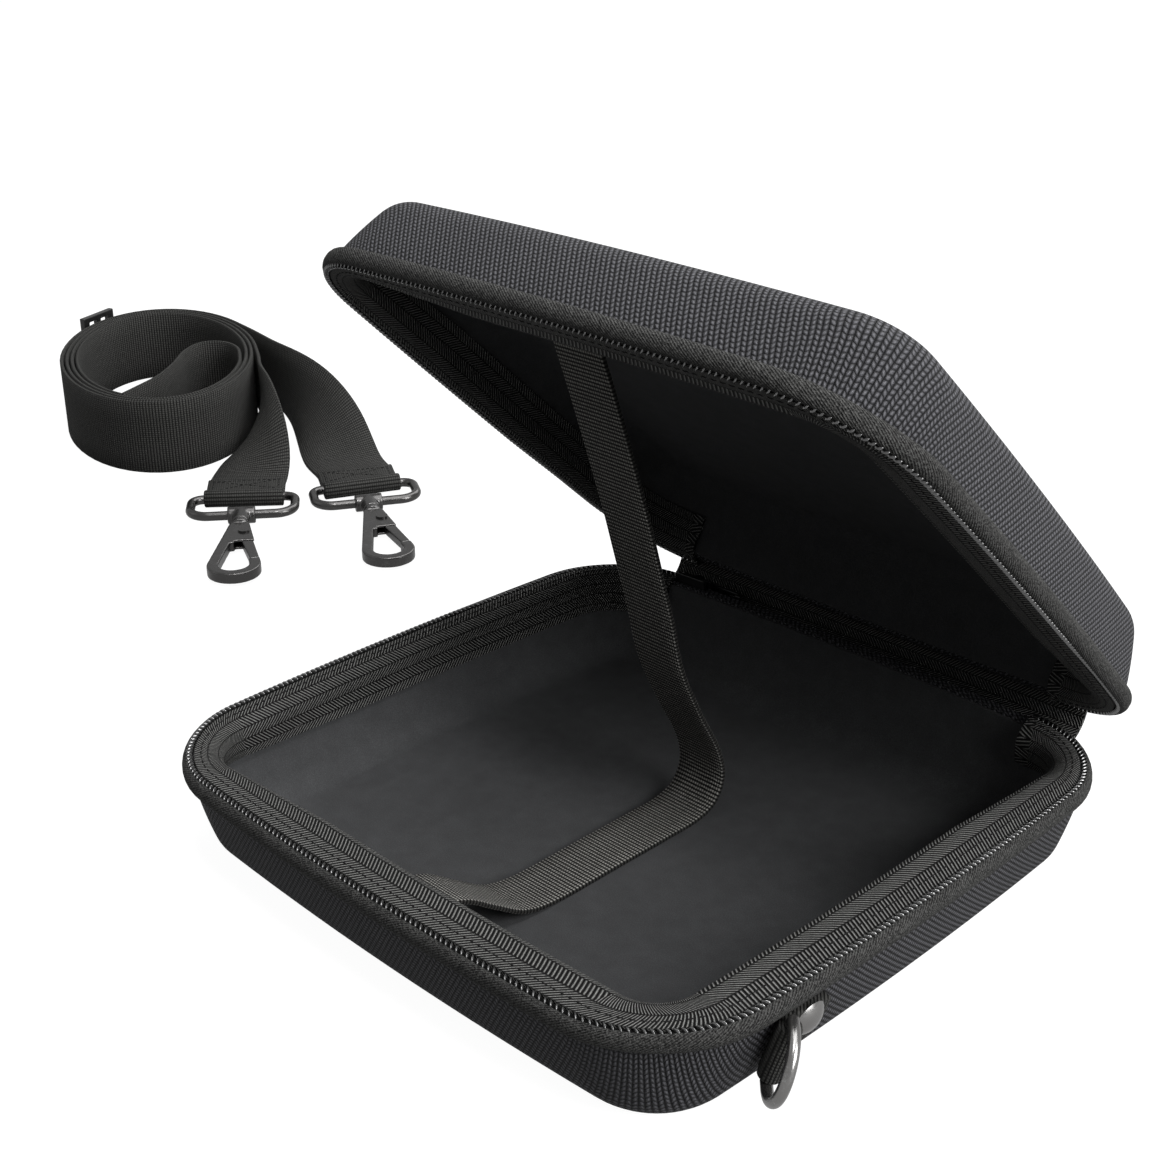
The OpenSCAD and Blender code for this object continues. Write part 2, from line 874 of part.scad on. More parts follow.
// Gate and nose meet along an arc about the gate's pin
gate_reach = 31.4;
nose_gap = 0.4;
nose_x = tip_x - 4.5;
tongue_t = 2;
slot_t = 2.4;

module at_hook(at, dir) {
    at_ring(at, dir) translate([ring_half_x, 0, bar_z]) children();
}

module hook_swivel(at, dir) {
    color("#383838")
        at_hook(at, dir)
            difference() {
                union() {
                    rod([0, -swivel_l / 2, 0], [0, swivel_l / 2, 0], cap_r);
                    rod([0, 0, 0], [boss_end, 0, 0], cap_r);
                }
                rod([0, -swivel_l, 0], [0, swivel_l, 0], wire_r + wire_gap);
                rod([cap_r + 0.5, 0, 0], [boss_end + 1, 0, 0], swivel_pin_r + wire_gap);
            }
}

// Outline of the claw: straight sides that widen into a round end, with its egg-shaped hole
module claw() {
    difference() {
        union() {
            polygon([
                [neck_x, -neck_w], [tip_x - hook_r * sin(side_lean), -hook_r * cos(side_lean)],
                [tip_x - hook_r * sin(side_lean), hook_r * cos(side_lean)], [neck_x, neck_w]
            ]);
            translate([tip_x, 0]) circle(hook_r);
        }
        polygon([[hole_x, -hole_w], [tip_x, -hook_in_r], [tip_x, hook_in_r], [hole_x, hole_w]]);
        translate([tip_x, 0]) circle(hook_in_r);
        intersection() {
            translate([gate_from - 0.6, -1.2])
                square([tip_x - gate_from, hook_r + 2]);
            translate(gate_at) circle(gate_reach + nose_gap);
        }
    }
}

module hook_body(at, dir) {
    color("#383838")
        at_hook(at, dir) {
            rod([cap_r + 1, 0, 0], [boss_end + 1, 0, 0], swivel_pin_r);
            rod([boss_end + 0.3, 0, 0], [neck_x + 0.5, 0, 0], cap_r);
            difference() {
                translate([0, 0, -plate_half_t])
                    linear_extrude(2 * plate_half_t)
                        claw();
                // Slot for the gate's tongue
                translate([neck_x + 5, -1.5, -slot_t / 2]) cube([20, hook_r + 2, slot_t]);
                translate([gate_at.x, gate_at.y, -5]) cylinder(h = 10, r = gate_pin_r + bore_gap);
            }
        }
}

// Gate: a thin tongue in the slot and a full bar that meets the nose
module gate_outline(from) {
    slope = (plate_y(nose_x) - gate_bar - gate_at.y + gate_eye) / (nose_x - gate_at.x);
    intersection() {
        polygon([
            [from, gate_at.y - gate_eye + slope * (from - gate_at.x)],
            [nose_x, plate_y(nose_x) - gate_bar],
            [nose_x, plate_y(nose_x) - 0.1],
            [from, plate_y(from) - 0.6]
        ]);
        translate(gate_at) circle(gate_reach);
    }
}

module hook_gate(at, dir) {
    gate_half_t = plate_half_t - 0.3;
    color("#484848")
        at_hook(at, dir)
            difference() {
                union() {
                    translate([0, 0, -tongue_t / 2])
                        linear_extrude(tongue_t)
                            union() {
                                translate(gate_at) circle(gate_eye);
                                gate_outline(gate_at.x);
                            }
                    translate([0, 0, -gate_half_t])
                        linear_extrude(2 * gate_half_t)
                            gate_outline(gate_from);
                }
                translate([gate_at.x, gate_at.y, -5]) cylinder(h = 10, r = gate_pin_r + wire_gap);
            }
}

module hook_pin(at, dir) {
    head_r = 2.8;
    head_t = 0.8;
    color("#505050")
        at_hook(at, dir)
            translate([gate_at.x, gate_at.y, 0]) {
                translate([0, 0, -plate_half_t]) cylinder(h = 2 * plate_half_t + head_t, r = gate_pin_r);
                translate([0, 0, plate_half_t]) cylinder(h = head_t, r = head_r);
            }
}

// Three-bar slide on the outside of the roll
adjuster_a = 125;
adjuster_l = 25;
adjuster_t = 3.2;
adjuster_bar = 3;
adjuster_slot = 6.5;
adjuster_h = web_w + 4;

module strap_adjuster() {
    p = turn(adjuster_a, 0);
    d = turn(adjuster_a + 4, 0) - turn(adjuster_a - 4, 0);
    color("#303030")
        at_strap()
            translate([p.x, p.y, 0])
                rotate([0, 0, atan2(d.y, d.x)])
                    translate([-adjuster_l / 2, -web_t / 2 - 0.2 - adjuster_t, 0])
                        difference() {
                            cube([adjuster_l, adjuster_t, adjuster_h]);
                            for (s = [-1, 1])
                                translate([adjuster_l / 2 + s * (adjuster_slot + adjuster_bar) / 2
                                    - adjuster_slot / 2, -1, adjuster_bar])
                                    cube([adjuster_slot, adjuster_t + 2, adjuster_h - 2 * adjuster_bar]);
                        }
}

base_shell();
base_lining();
base_rim_band();
base_inner_tape();
base_zip_teeth();
base_zip_stops();
lid_shell();
lid_lining();
lid_rim_band();
lid_inner_tape();
lid_zip_teeth();
lid_zip_stops();
zip_slider();
zip_pull();
hinge_spine();
stay_strap();
ring_tab(1);  // ring_tab_right
ring_tab(-1);  // ring_tab_left
tab_rivet(1);  // tab_rivet_right
tab_rivet(-1);  // tab_rivet_left
rivet_washer(1);  // rivet_washer_right
rivet_washer(-1);  // rivet_washer_left
d_ring(1);  // d_ring_right
d_ring(-1);  // d_ring_left
strap_roll();
strap_tail(tail_1_start, tail_1_mid, ring_1_at, ring_1_dir);  // strap_tail_1
strap_tail(tail_2_start, tail_2_mid, ring_2_at, ring_2_dir);  // strap_tail_2
strap_adjuster();
strap_ring(ring_1_at, ring_1_dir);  // strap_ring_1
strap_ring(ring_2_at, ring_2_dir);  // strap_ring_2
hook_swivel(ring_1_at, ring_1_dir);  // hook_swivel_1
hook_swivel(ring_2_at, ring_2_dir);  // hook_swivel_2
hook_body(ring_1_at, ring_1_dir);  // hook_body_1
hook_body(ring_2_at, ring_2_dir);  // hook_body_2
hook_gate(ring_1_at, ring_1_dir);  // hook_gate_1
hook_gate(ring_2_at, ring_2_dir);  // hook_gate_2
hook_pin(ring_1_at, ring_1_dir);  // hook_pin_1
hook_pin(ring_2_at, ring_2_dir);  // hook_pin_2
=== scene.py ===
"""Zipped hard case with a hinged lid, ring tabs and a rolled shoulder strap, dressed for a render.

Lengths in the classes are millimetres, and meshes are made in metres in the frame's own axes.
"""

from __future__ import annotations

import functools
import json
import logging
import math
from dataclasses import dataclass
from enum import Enum
from typing import Any, Sequence

import bmesh
import bpy
from mathutils import Matrix, Vector

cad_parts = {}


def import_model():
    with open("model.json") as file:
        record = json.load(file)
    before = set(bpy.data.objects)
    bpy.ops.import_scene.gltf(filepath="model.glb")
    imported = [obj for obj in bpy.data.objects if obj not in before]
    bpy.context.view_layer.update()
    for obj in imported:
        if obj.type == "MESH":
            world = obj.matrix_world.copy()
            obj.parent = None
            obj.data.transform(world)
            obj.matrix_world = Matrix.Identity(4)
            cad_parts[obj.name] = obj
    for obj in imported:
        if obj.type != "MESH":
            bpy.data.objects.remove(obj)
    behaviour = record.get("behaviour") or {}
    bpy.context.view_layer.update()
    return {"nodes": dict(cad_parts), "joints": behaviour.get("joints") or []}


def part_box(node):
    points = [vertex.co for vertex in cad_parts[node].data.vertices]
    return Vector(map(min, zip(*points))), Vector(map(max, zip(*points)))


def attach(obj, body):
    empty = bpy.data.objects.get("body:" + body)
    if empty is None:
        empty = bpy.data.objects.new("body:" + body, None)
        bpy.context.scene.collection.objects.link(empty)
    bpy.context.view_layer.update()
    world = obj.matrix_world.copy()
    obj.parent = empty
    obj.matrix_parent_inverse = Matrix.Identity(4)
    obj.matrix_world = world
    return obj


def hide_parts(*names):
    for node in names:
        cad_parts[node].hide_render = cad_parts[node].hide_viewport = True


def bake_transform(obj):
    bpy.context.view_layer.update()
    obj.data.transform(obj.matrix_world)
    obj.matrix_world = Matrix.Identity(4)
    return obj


LOG = logging.getLogger("hard_case")
MM = 0.001
IMAGE_PX = 1176
Plane = tuple[float, float]


# Shader arithmetic


class Value:
    """A number socket that can be used in arithmetic."""

    def __init__(self, shader: Shader, socket: bpy.types.NodeSocket) -> None:
        """Keeps the shader and the socket."""
        self.shader = shader
        self.socket = socket

    def math(self, operation: str, *others: float | Value, first: bool = True) -> Value:
        """Adds a Math node.

        Args:
            operation: Name of the node's operation.
            others: The other operands.
            first: Whether this value is the first operand.

        Returns:
            The node's result.
        """
        operands = [self, *others] if first else [*others, self]
        node = self.shader.node("ShaderNodeMath", {"operation": operation}, dict(enumerate(operands)))
        return Value(self.shader, node.outputs[0])

    def __add__(self, other: float | Value) -> Value:
        """Returns the sum."""
        return self.math("ADD", other)

    __radd__ = __add__

    def __sub__(self, other: float | Value) -> Value:
        """Returns the difference."""
        return self.math("SUBTRACT", other)

    def __rsub__(self, other: float | Value) -> Value:
        """Returns the difference with this value taken away."""
        return self.math("SUBTRACT", other, first=False)

    def __mul__(self, other: float | Value) -> Value:
        """Returns the product."""
        return self.math("MULTIPLY", other)

    __rmul__ = __mul__

    def __truediv__(self, other: float | Value) -> Value:
        """Returns the quotient."""
        return self.math("DIVIDE", other)

    def __pow__(self, other: float | Value) -> Value:
        """Returns the power."""
        return self.math("POWER", other)

    def fract(self) -> Value:
        """Returns the part after the whole number."""
        return self.math("FRACT")

    def floor(self) -> Value:
        """Returns the whole number below."""
        return self.math("FLOOR")

    def wave(self) -> Value:
        """Returns a wave from 0 to 1 with period 1 and its crest at one half."""
        return 0.5 - 0.5 * (self * math.tau).math("COSINE")

    def arch(self) -> Value:
        """Returns rounded arches from 0 to 1 with period 1."""
        part = self.fract()
        return 4.0 * (part * (1.0 - part))

    def odd(self) -> Value:
        """Returns 1 where the whole number below is odd and 0 elsewhere."""
        return (self * 0.5).fract().math("GREATER_THAN", 0.4999)

    def step(self, low: float, high: float) -> Value:
        """Returns a smooth step from 0 at low to 1 at high."""
        settings = {"interpolation_type": "SMOOTHSTEP"}
        node = self.shader.node("ShaderNodeMapRange", settings, {0: self, 1: low, 2: high})
        return Value(self.shader, node.outputs[0])


class Shader:
    """Builds one material."""

    def __init__(self, name: str) -> None:
        """Starts an empty material with a Principled shader."""
        self.material = bpy.data.materials.new(name)
        self.material.use_nodes = True
        self.tree = self.material.node_tree
        self.tree.nodes.clear()
        self.output = self.node("ShaderNodeOutputMaterial")
        self.surface = self.node("ShaderNodeBsdfPrincipled")
        self.link(self.surface.outputs[0], self.output.inputs["Surface"])

    def link(self, source: bpy.types.NodeSocket, target: bpy.types.NodeSocket) -> None:
        """Links two sockets."""
        self.tree.links.new(source, target)

    def node(
        self, kind: str, settings: dict[str, Any] | None = None, values: dict[Any, Any] | None = None
    ) -> bpy.types.Node:
        """Adds a node.

        Args:
            kind: The node's type.
            settings: Properties, set first.
            values: Numbers, colours, sockets or values by input name or index.

        Returns:
            The new node.
        """
        made = self.tree.nodes.new(kind)
        for key, setting in (settings or {}).items():
            setattr(made, key, setting)
        self.feed(made, values or {})
        return made

    def feed(self, node: bpy.types.Node, values: dict[Any, Any]) -> None:
        """Sets or links inputs of a node."""
        for key, given in values.items():
            if isinstance(given, Value):
                self.link(given.socket, node.inputs[key])
            elif isinstance(given, bpy.types.NodeSocket):
                self.link(given, node.inputs[key])
            else:
                node.inputs[key].default_value = given

    def cloth_place(self) -> tuple[Value, Value]:
        """Returns the place along and across the cloth, in millimetres."""
        mapped = self.node("ShaderNodeUVMap", {"uv_map": Skin.uv_name})
        parts = self.node("ShaderNodeSeparateXYZ", None, {0: mapped.outputs[0]})
        return Value(self, parts.outputs[0]) / MM, Value(self, parts.outputs[1]) / MM

    def object_place(self) -> bpy.types.NodeSocket:
        """Returns the object coordinates."""
        return self.node("ShaderNodeTexCoord").outputs["Object"]

    def noise(self, size: float, detail: float = 2.0, place: bpy.types.NodeSocket | None = None) -> Value:
        """Adds noise in object space.

        Args:
            size: Size of the grains in millimetres.
            detail: Detail of the noise.
            place: Coordinates, or None for the object's own.

        Returns:
            The noise from 0 to 1.
        """
        values = {"Vector": place or self.object_place(), "Scale": 1 / (size * MM), "Detail": detail}
        made = self.node("ShaderNodeTexNoise", None, values)
        return Value(self, made.outputs["Fac"])

    def blend(self, share: Value | float, low: Sequence[float], high: Sequence[float]) -> bpy.types.NodeSocket:
        """Mixes two colours by a share."""
        settings = {"data_type": "RGBA"}
        values = {0: share, 6: (*low, 1.0), 7: (*high, 1.0)}
        return self.node("ShaderNodeMix", settings, values).outputs[2]

    def relief(self, height: Value, depth: float, strength: float = 1.0) -> None:
        """Adds a bump of the given depth in millimetres."""
        values = {"Height": height, "Distance": depth * MM, "Strength": strength}
        made = self.node("ShaderNodeBump", None, values)
        self.link(made.outputs[0], self.surface.inputs["Normal"])


# Finishes


@dataclass(frozen=True)
class Cloth:
    """What every cloth shares: a dark colour, which also paints shade into the grooves between threads, a light thread
    colour, roughness, relief and sheen.
    """

    name: str
    dark_and_groove_shade: tuple[float, float, float]
    light: tuple[float, float, float]
    relief: float
    rough: float = 0.8
    groove_shade: float = 1.3
    gloss: float = 0.1
    sheen: float = 0.02

    def height(self, shader: Shader) -> Value:
        """Returns the height of the threads from 0 to 1."""
        return shader.noise(0.5)

    def material(self) -> bpy.types.Material:
        """Returns the finished material."""
        shader = Shader(self.name)
        height = self.height(shader)
        grain = shader.noise(0.35, 3.0)
        cloud = shader.noise(38.0, 2.0)
        # Painted shade: the colour darkens where the threads are low, so the grooves between threads carry painted
        # shade; grain and cloud add random tone.
        share = (height ** self.groove_shade) * (2.6 * grain - 0.3) * (0.8 + 0.4 * cloud)
        shader.feed(shader.surface, {
            "Base Color": shader.blend(share, self.dark_and_groove_shade, self.light),
            "Roughness": self.rough + 0.15 * (grain - 0.5),
            "Sheen Weight": self.sheen,
            "Sheen Roughness": 0.5,
            "Specular IOR Level": self.gloss,
        })
        shader.relief(height + 0.25 * grain, self.relief)
        return shader.material


@dataclass(frozen=True)
class BasketCloth(Cloth):
    """Coarse ballistic weave, laid aslant, whose thick threads stand in rows of domes."""

    row: float = 1.61
    dome: float = 2.04
    angle: float = 39.0
    shift: float = 0.12
    lean: float = 0.4

    def height(self, shader: Shader) -> Value:
        """Returns rows of domes with a deep groove between the rows."""
        along, across = shader.cloth_place()
        c, s = math.cos(math.radians(self.angle)), math.sin(math.radians(self.angle))
        row = (along * c + across * s) / self.row
        lean = (row.fract() - 0.5) * (1.0 - 2.0 * row.odd())
        dome = (across * c - along * s) / self.dome + self.shift * row + self.lean * lean
        return row.arch() * (0.25 + 0.75 * dome.arch())


@dataclass(frozen=True)
class HerringboneTape(Cloth):
    """Woven tape whose ribs turn back and forth in narrow bands."""

    band: float = 4.2
    rib: float = 1.4

    def height(self, shader: Shader) -> Value:
        """Returns slanting ribs that change direction at each band."""
        along, across = shader.cloth_place()
        lane = across / self.band
        fold = ((lane * 0.5).fract() - 0.5).math("ABSOLUTE")
        rib = (along + 2.0 * self.band * fold) / self.rib
        seam = (lane.fract() - 0.5).math("ABSOLUTE").step(0.5, 0.42)
        return rib.wave() * (0.35 + 0.65 * seam)


@dataclass(frozen=True)
class TwillBinding(Cloth):
    """Soft binding with fine slanting ribs, worn fuzzy."""

    rib: float = 0.85
    lean: float = 1.6

    def height(self, shader: Shader) -> Value:
        """Returns fine ribs broken up by fluff."""
        along, across = shader.cloth_place()
        fluff = shader.noise(0.7, 3.0)
        rib = ((across + along / self.lean) / self.rib + 0.5 * fluff).wave()
        return 0.5 * rib + 0.6 * fluff.step(0.3, 0.7)


@dataclass(frozen=True)
class RibbedWebbing(Cloth):
    """Strap webbing with ribs across it and a woven edge."""

    rib: float = 1.5
    warp: float = 1.1

    def height(self, shader: Shader) -> Value:
        """Returns cross ribs, each a row of small domes."""
        along, across = shader.cloth_place()
        warp = across / self.warp
        rib = (along / self.rib).arch()
        return rib * (0.45 + 0.55 * warp.arch())


@dataclass(frozen=True)
class NapLining(Cloth):
    """Smooth knitted lining with a short nap."""

    def height(self, shader: Shader) -> Value:
        """Returns the fine, uneven nap."""
        return 0.6 * shader.noise(0.4, 2.0) + 0.4 * shader.noise(6.0, 3.0)


@dataclass(frozen=True)
class Hard:
    """Metal, enamel or plastic with slight wear."""

    name: str
    colour: tuple[float, float, float]
    worn: tuple[float, float, float]
    metallic: float
    rough: float
    coat: float = 0.0
    pits: float = 0.01

    def material(self) -> bpy.types.Material:
        """Returns the finished material."""
        shader = Shader(self.name)
        cloud = shader.noise(5.0, 4.0)
        scratch = shader.noise(0.6, 5.0)
        wear = (0.5 * cloud + 0.5 * scratch).step(0.52, 0.75)
        shader.feed(shader.surface, {
            "Base Color": shader.blend(wear, self.colour, self.worn),
            "Roughness": self.rough + 0.16 * (cloud - 0.45),
            "Metallic": self.metallic,
            "Coat Weight": self.coat,
            "Coat Roughness": 0.1,
        })
        shader.relief(scratch, self.pits)
        return shader.material


Finish = Cloth | Hard


class Finishes(Enum):
    """Every finish of the case, with the record's slot that it belongs to."""

    SHELL = ("shell_cloth", BasketCloth("shell_cloth", (0.0025, 0.0025, 0.003), (0.112, 0.112, 0.122), 0.8, 0.6, 1.5))
    BINDING = (
        "band_cloth",
        TwillBinding("binding_cloth", (0.003, 0.003, 0.003), (0.08, 0.08, 0.0775), 0.35, 0.75, 1.5),
    )
    TAPE = ("tape", HerringboneTape("herringbone_tape", (0.002, 0.002, 0.002), (0.23, 0.23, 0.222), 0.6, 0.75, 2.8))
    LINING = ("lining", NapLining("nap_lining", (0.034, 0.035, 0.0355), (0.085, 0.086, 0.09), 0.08, 0.9))
    WEBBING = ("webbing", RibbedWebbing("ribbed_webbing", (0.003, 0.003, 0.003), (0.062, 0.062, 0.0585), 0.4, 0.75, 1.5))
    RIBBON = (
        "thin_webbing",
        RibbedWebbing("stay_ribbon", (0.001, 0.001, 0.001), (0.36, 0.353, 0.33), 0.5, 0.8, 3.2, rib=1.46, warp=1.0),
    )
    THREAD = ("webbing", Cloth("thread", (0.003, 0.003, 0.003), (0.02, 0.02, 0.02), 0.05))
    TEETH = ("coil", Hard("tooth_gloss", (0.13, 0.13, 0.13), (0.2, 0.2, 0.2), 0.7, 0.16, 1.0, 0.002))
    # The cord is black, and its near-zero colour also paints the shade in the gaps between the teeth.
    CORD = ("coil", NapLining("chain_cord", (0.001, 0.001, 0.001), (0.003, 0.003, 0.003), 0.05, 0.9))
    DARK_METAL = ("dark_metal", Hard("dark_metal", (0.27, 0.265, 0.26), (0.4, 0.4, 0.4), 0.95, 0.24, 0.2))
    HOOK_METAL = ("dark_metal", Hard("hook_metal", (0.085, 0.083, 0.082), (0.16, 0.16, 0.16), 0.95, 0.26, 0.2))
    BRIGHT_METAL = ("bright_metal", Hard("bright_metal", (0.3, 0.3, 0.31), (0.4, 0.4, 0.41), 1.0, 0.3))
    ENAMEL = ("slider_metal", Hard("black_enamel", (0.006, 0.006, 0.006), (0.02, 0.02, 0.02), 0.3, 0.3, 0.4))
    PLASTIC = ("dark_plastic", Hard("dark_plastic", (0.006, 0.006, 0.006), (0.015, 0.015, 0.015), 0.0, 0.35, 0.2, 0.03))

    @functools.cached_property
    def material(self) -> bpy.types.Material:
        """Returns the material, made once."""
        return self.value[1].material()

    @property
    def slot(self) -> str:
        """Returns the record's material slot."""
        return self.value[0]


# Meshes


class Skin:
    """Collects faces with cloth coordinates in metres and makes one object of them."""

    uv_name = "cloth"

    def __init__(self, name: str, place: Matrix | None = None) -> None:
        """Starts an empty skin, with a matrix in metres that puts it in place."""
        self.name = name
        self.place = place or Matrix.Identity(4)
        self.points: list[Vector] = []
        self.faces: list[tuple[int, ...]] = []
        self.coords: list[tuple[Plane, ...]] = []

    def face(self, corners: Sequence[int], coords: Sequence[Plane]) -> None:
        """Adds one face with the cloth coordinates of its corners."""
        self.faces.append(tuple(corners))
        self.coords.append(tuple(coords))

    def grid(
        self,
        rows: Sequence[Sequence[Sequence[float]]],
        coords: Sequence[Sequence[Plane]],
        closed: bool,
    ) -> list[int]:
        """Adds a grid of quads in millimetres.

        Args:
            rows: Rows of points, all equally long.
            coords: Cloth coordinates of each row, one more than its points where it is closed.
            closed: Whether each row's end joins its start.

        Returns:
            The index of the first point of each row.
        """
        starts = []
        for row in rows:
            starts.append(len(self.points))
            self.points.extend(Vector(p) * MM for p in row)
        count = len(rows[0])
        for j in range(len(rows) - 1):
            for i in range(count if closed else count - 1):
                k = (i + 1) % count
                corners = (starts[j] + i, starts[j] + k, starts[j + 1] + k, starts[j + 1] + i)
                near, far = coords[j], coords[j + 1]
                self.face(corners, (near[i], near[i + 1], far[i + 1], far[i]))
        return starts

    def cap(self, start: int, count: int, flip: bool = False, step: int = 1) -> None:
        """Closes a ring of points with one face, its coordinates taken from X and Y."""
        corners = [start + i * step for i in range(count)]
        if flip:
            corners.reverse()
        self.face(corners, [(self.points[c].x / MM, self.points[c].y / MM) for c in corners])

    def make(self, finish: Finishes, smooth: float = 40.0) -> bpy.types.Object:
        """Makes the object.

        Args:
            finish: The finish that it gets.
            smooth: Edges sharper than this many degrees stay sharp.

        Returns:
            The object, at the origin.
        """
        mesh = bpy.data.meshes.new(self.name)
        mesh.from_pydata([self.place @ p for p in self.points], [], self.faces)
        layer = mesh.uv_layers.new(name=self.uv_name)
        flat = [c for coords in self.coords for c in coords]
        layer.data.foreach_set("uv", [x * MM for c in flat for x in c])
        made = bpy.data.objects.new(self.name, mesh)
        bpy.context.scene.collection.objects.link(made)
        tidy_normals(mesh)
        mesh.shade_smooth()
        mesh.set_sharp_from_angle(angle=math.radians(smooth))
        return dress(made, finish)


def tidy_normals(mesh: bpy.types.Mesh) -> None:
    """Merges doubled points and turns every face outwards."""
    work = bmesh.new()
    work.from_mesh(mesh)
    bmesh.ops.remove_doubles(work, verts=work.verts, dist=0.002 * MM)
    bmesh.ops.recalc_face_normals(work, faces=work.faces)
    work.to_mesh(mesh)
    work.free()


def dress(made: bpy.types.Object, finish: Finishes) -> bpy.types.Object:
    """Gives an object one material."""
    made.data.materials.clear()
    made.data.materials.append(finish.material)
    return made


def settle(made: bpy.types.Object, finish: Finishes, body: str, *nodes: str) -> None:
    """Ends the making of a piece: hides the nodes that it stands for and attaches it to its body."""
    if nodes:
        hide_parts(*nodes)
    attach(made, body)
    LOG.info("%s: %d faces", made.name, len(made.data.polygons))


def running(points: Sequence[Sequence[float]], closed: bool) -> list[float]:
    """Returns the length along a line up to each point, and round to the start if it is closed."""
    line = [Vector(p) for p in points]
    if closed:
        line.append(line[0])
    lengths = [0.0]
    for a, b in zip(line, line[1:]):
        lengths.append(lengths[-1] + (b - a).length)
    return lengths


def smooth_line(points: Sequence[Sequence[float]], steps: int) -> list[Vector]:
    """Returns a smooth line through given points, with steps stretches between two."""
    line = [Vector(p) for p in points]
    made: list[Vector] = []
    for i in range(len(line) - 1):
        a, b = line[max(i - 1, 0)], line[i]
        c, d = line[i + 1], line[min(i + 2, len(line) - 1)]
        for j in range(steps):
            t = j / steps
            bend = (2 * a - 5 * b + 4 * c - d) * t * t + (3 * b - 3 * c + d - a) * t**3
            made.append(0.5 * (2 * b + (c - a) * t + bend))
    return [*made, line[-1]]


def thicken(line: Sequence[Sequence[float]], thick: float) -> list[Plane]:
    """Returns the closed outline of a strip of a given thickness along a flat line."""
    points = [Vector(p) for p in line]
    near: list[Plane] = []
    far: list[Plane] = []
    for i, p in enumerate(points):
        way = (points[min(i + 1, len(points) - 1)] - points[max(i - 1, 0)]).normalized()
        side = Vector((-way.y, way.x)) * thick / 2
        near.append(tuple(p - side))
        far.append(tuple(p + side))
    return [*near, *reversed(far)]


# Rows of small pieces along a line, made by Geometry Nodes


class Bead(Enum):
    """Kinds of small piece: length, width and height in millimetres, and slant in degrees."""

    TOOTH = (0.78, 2.7, 1.9, 36.0)
    STITCH = (2.3, 0.55, 0.5, 0.0)
    FINE_STITCH = (1.7, 0.45, 0.4, 0.0)


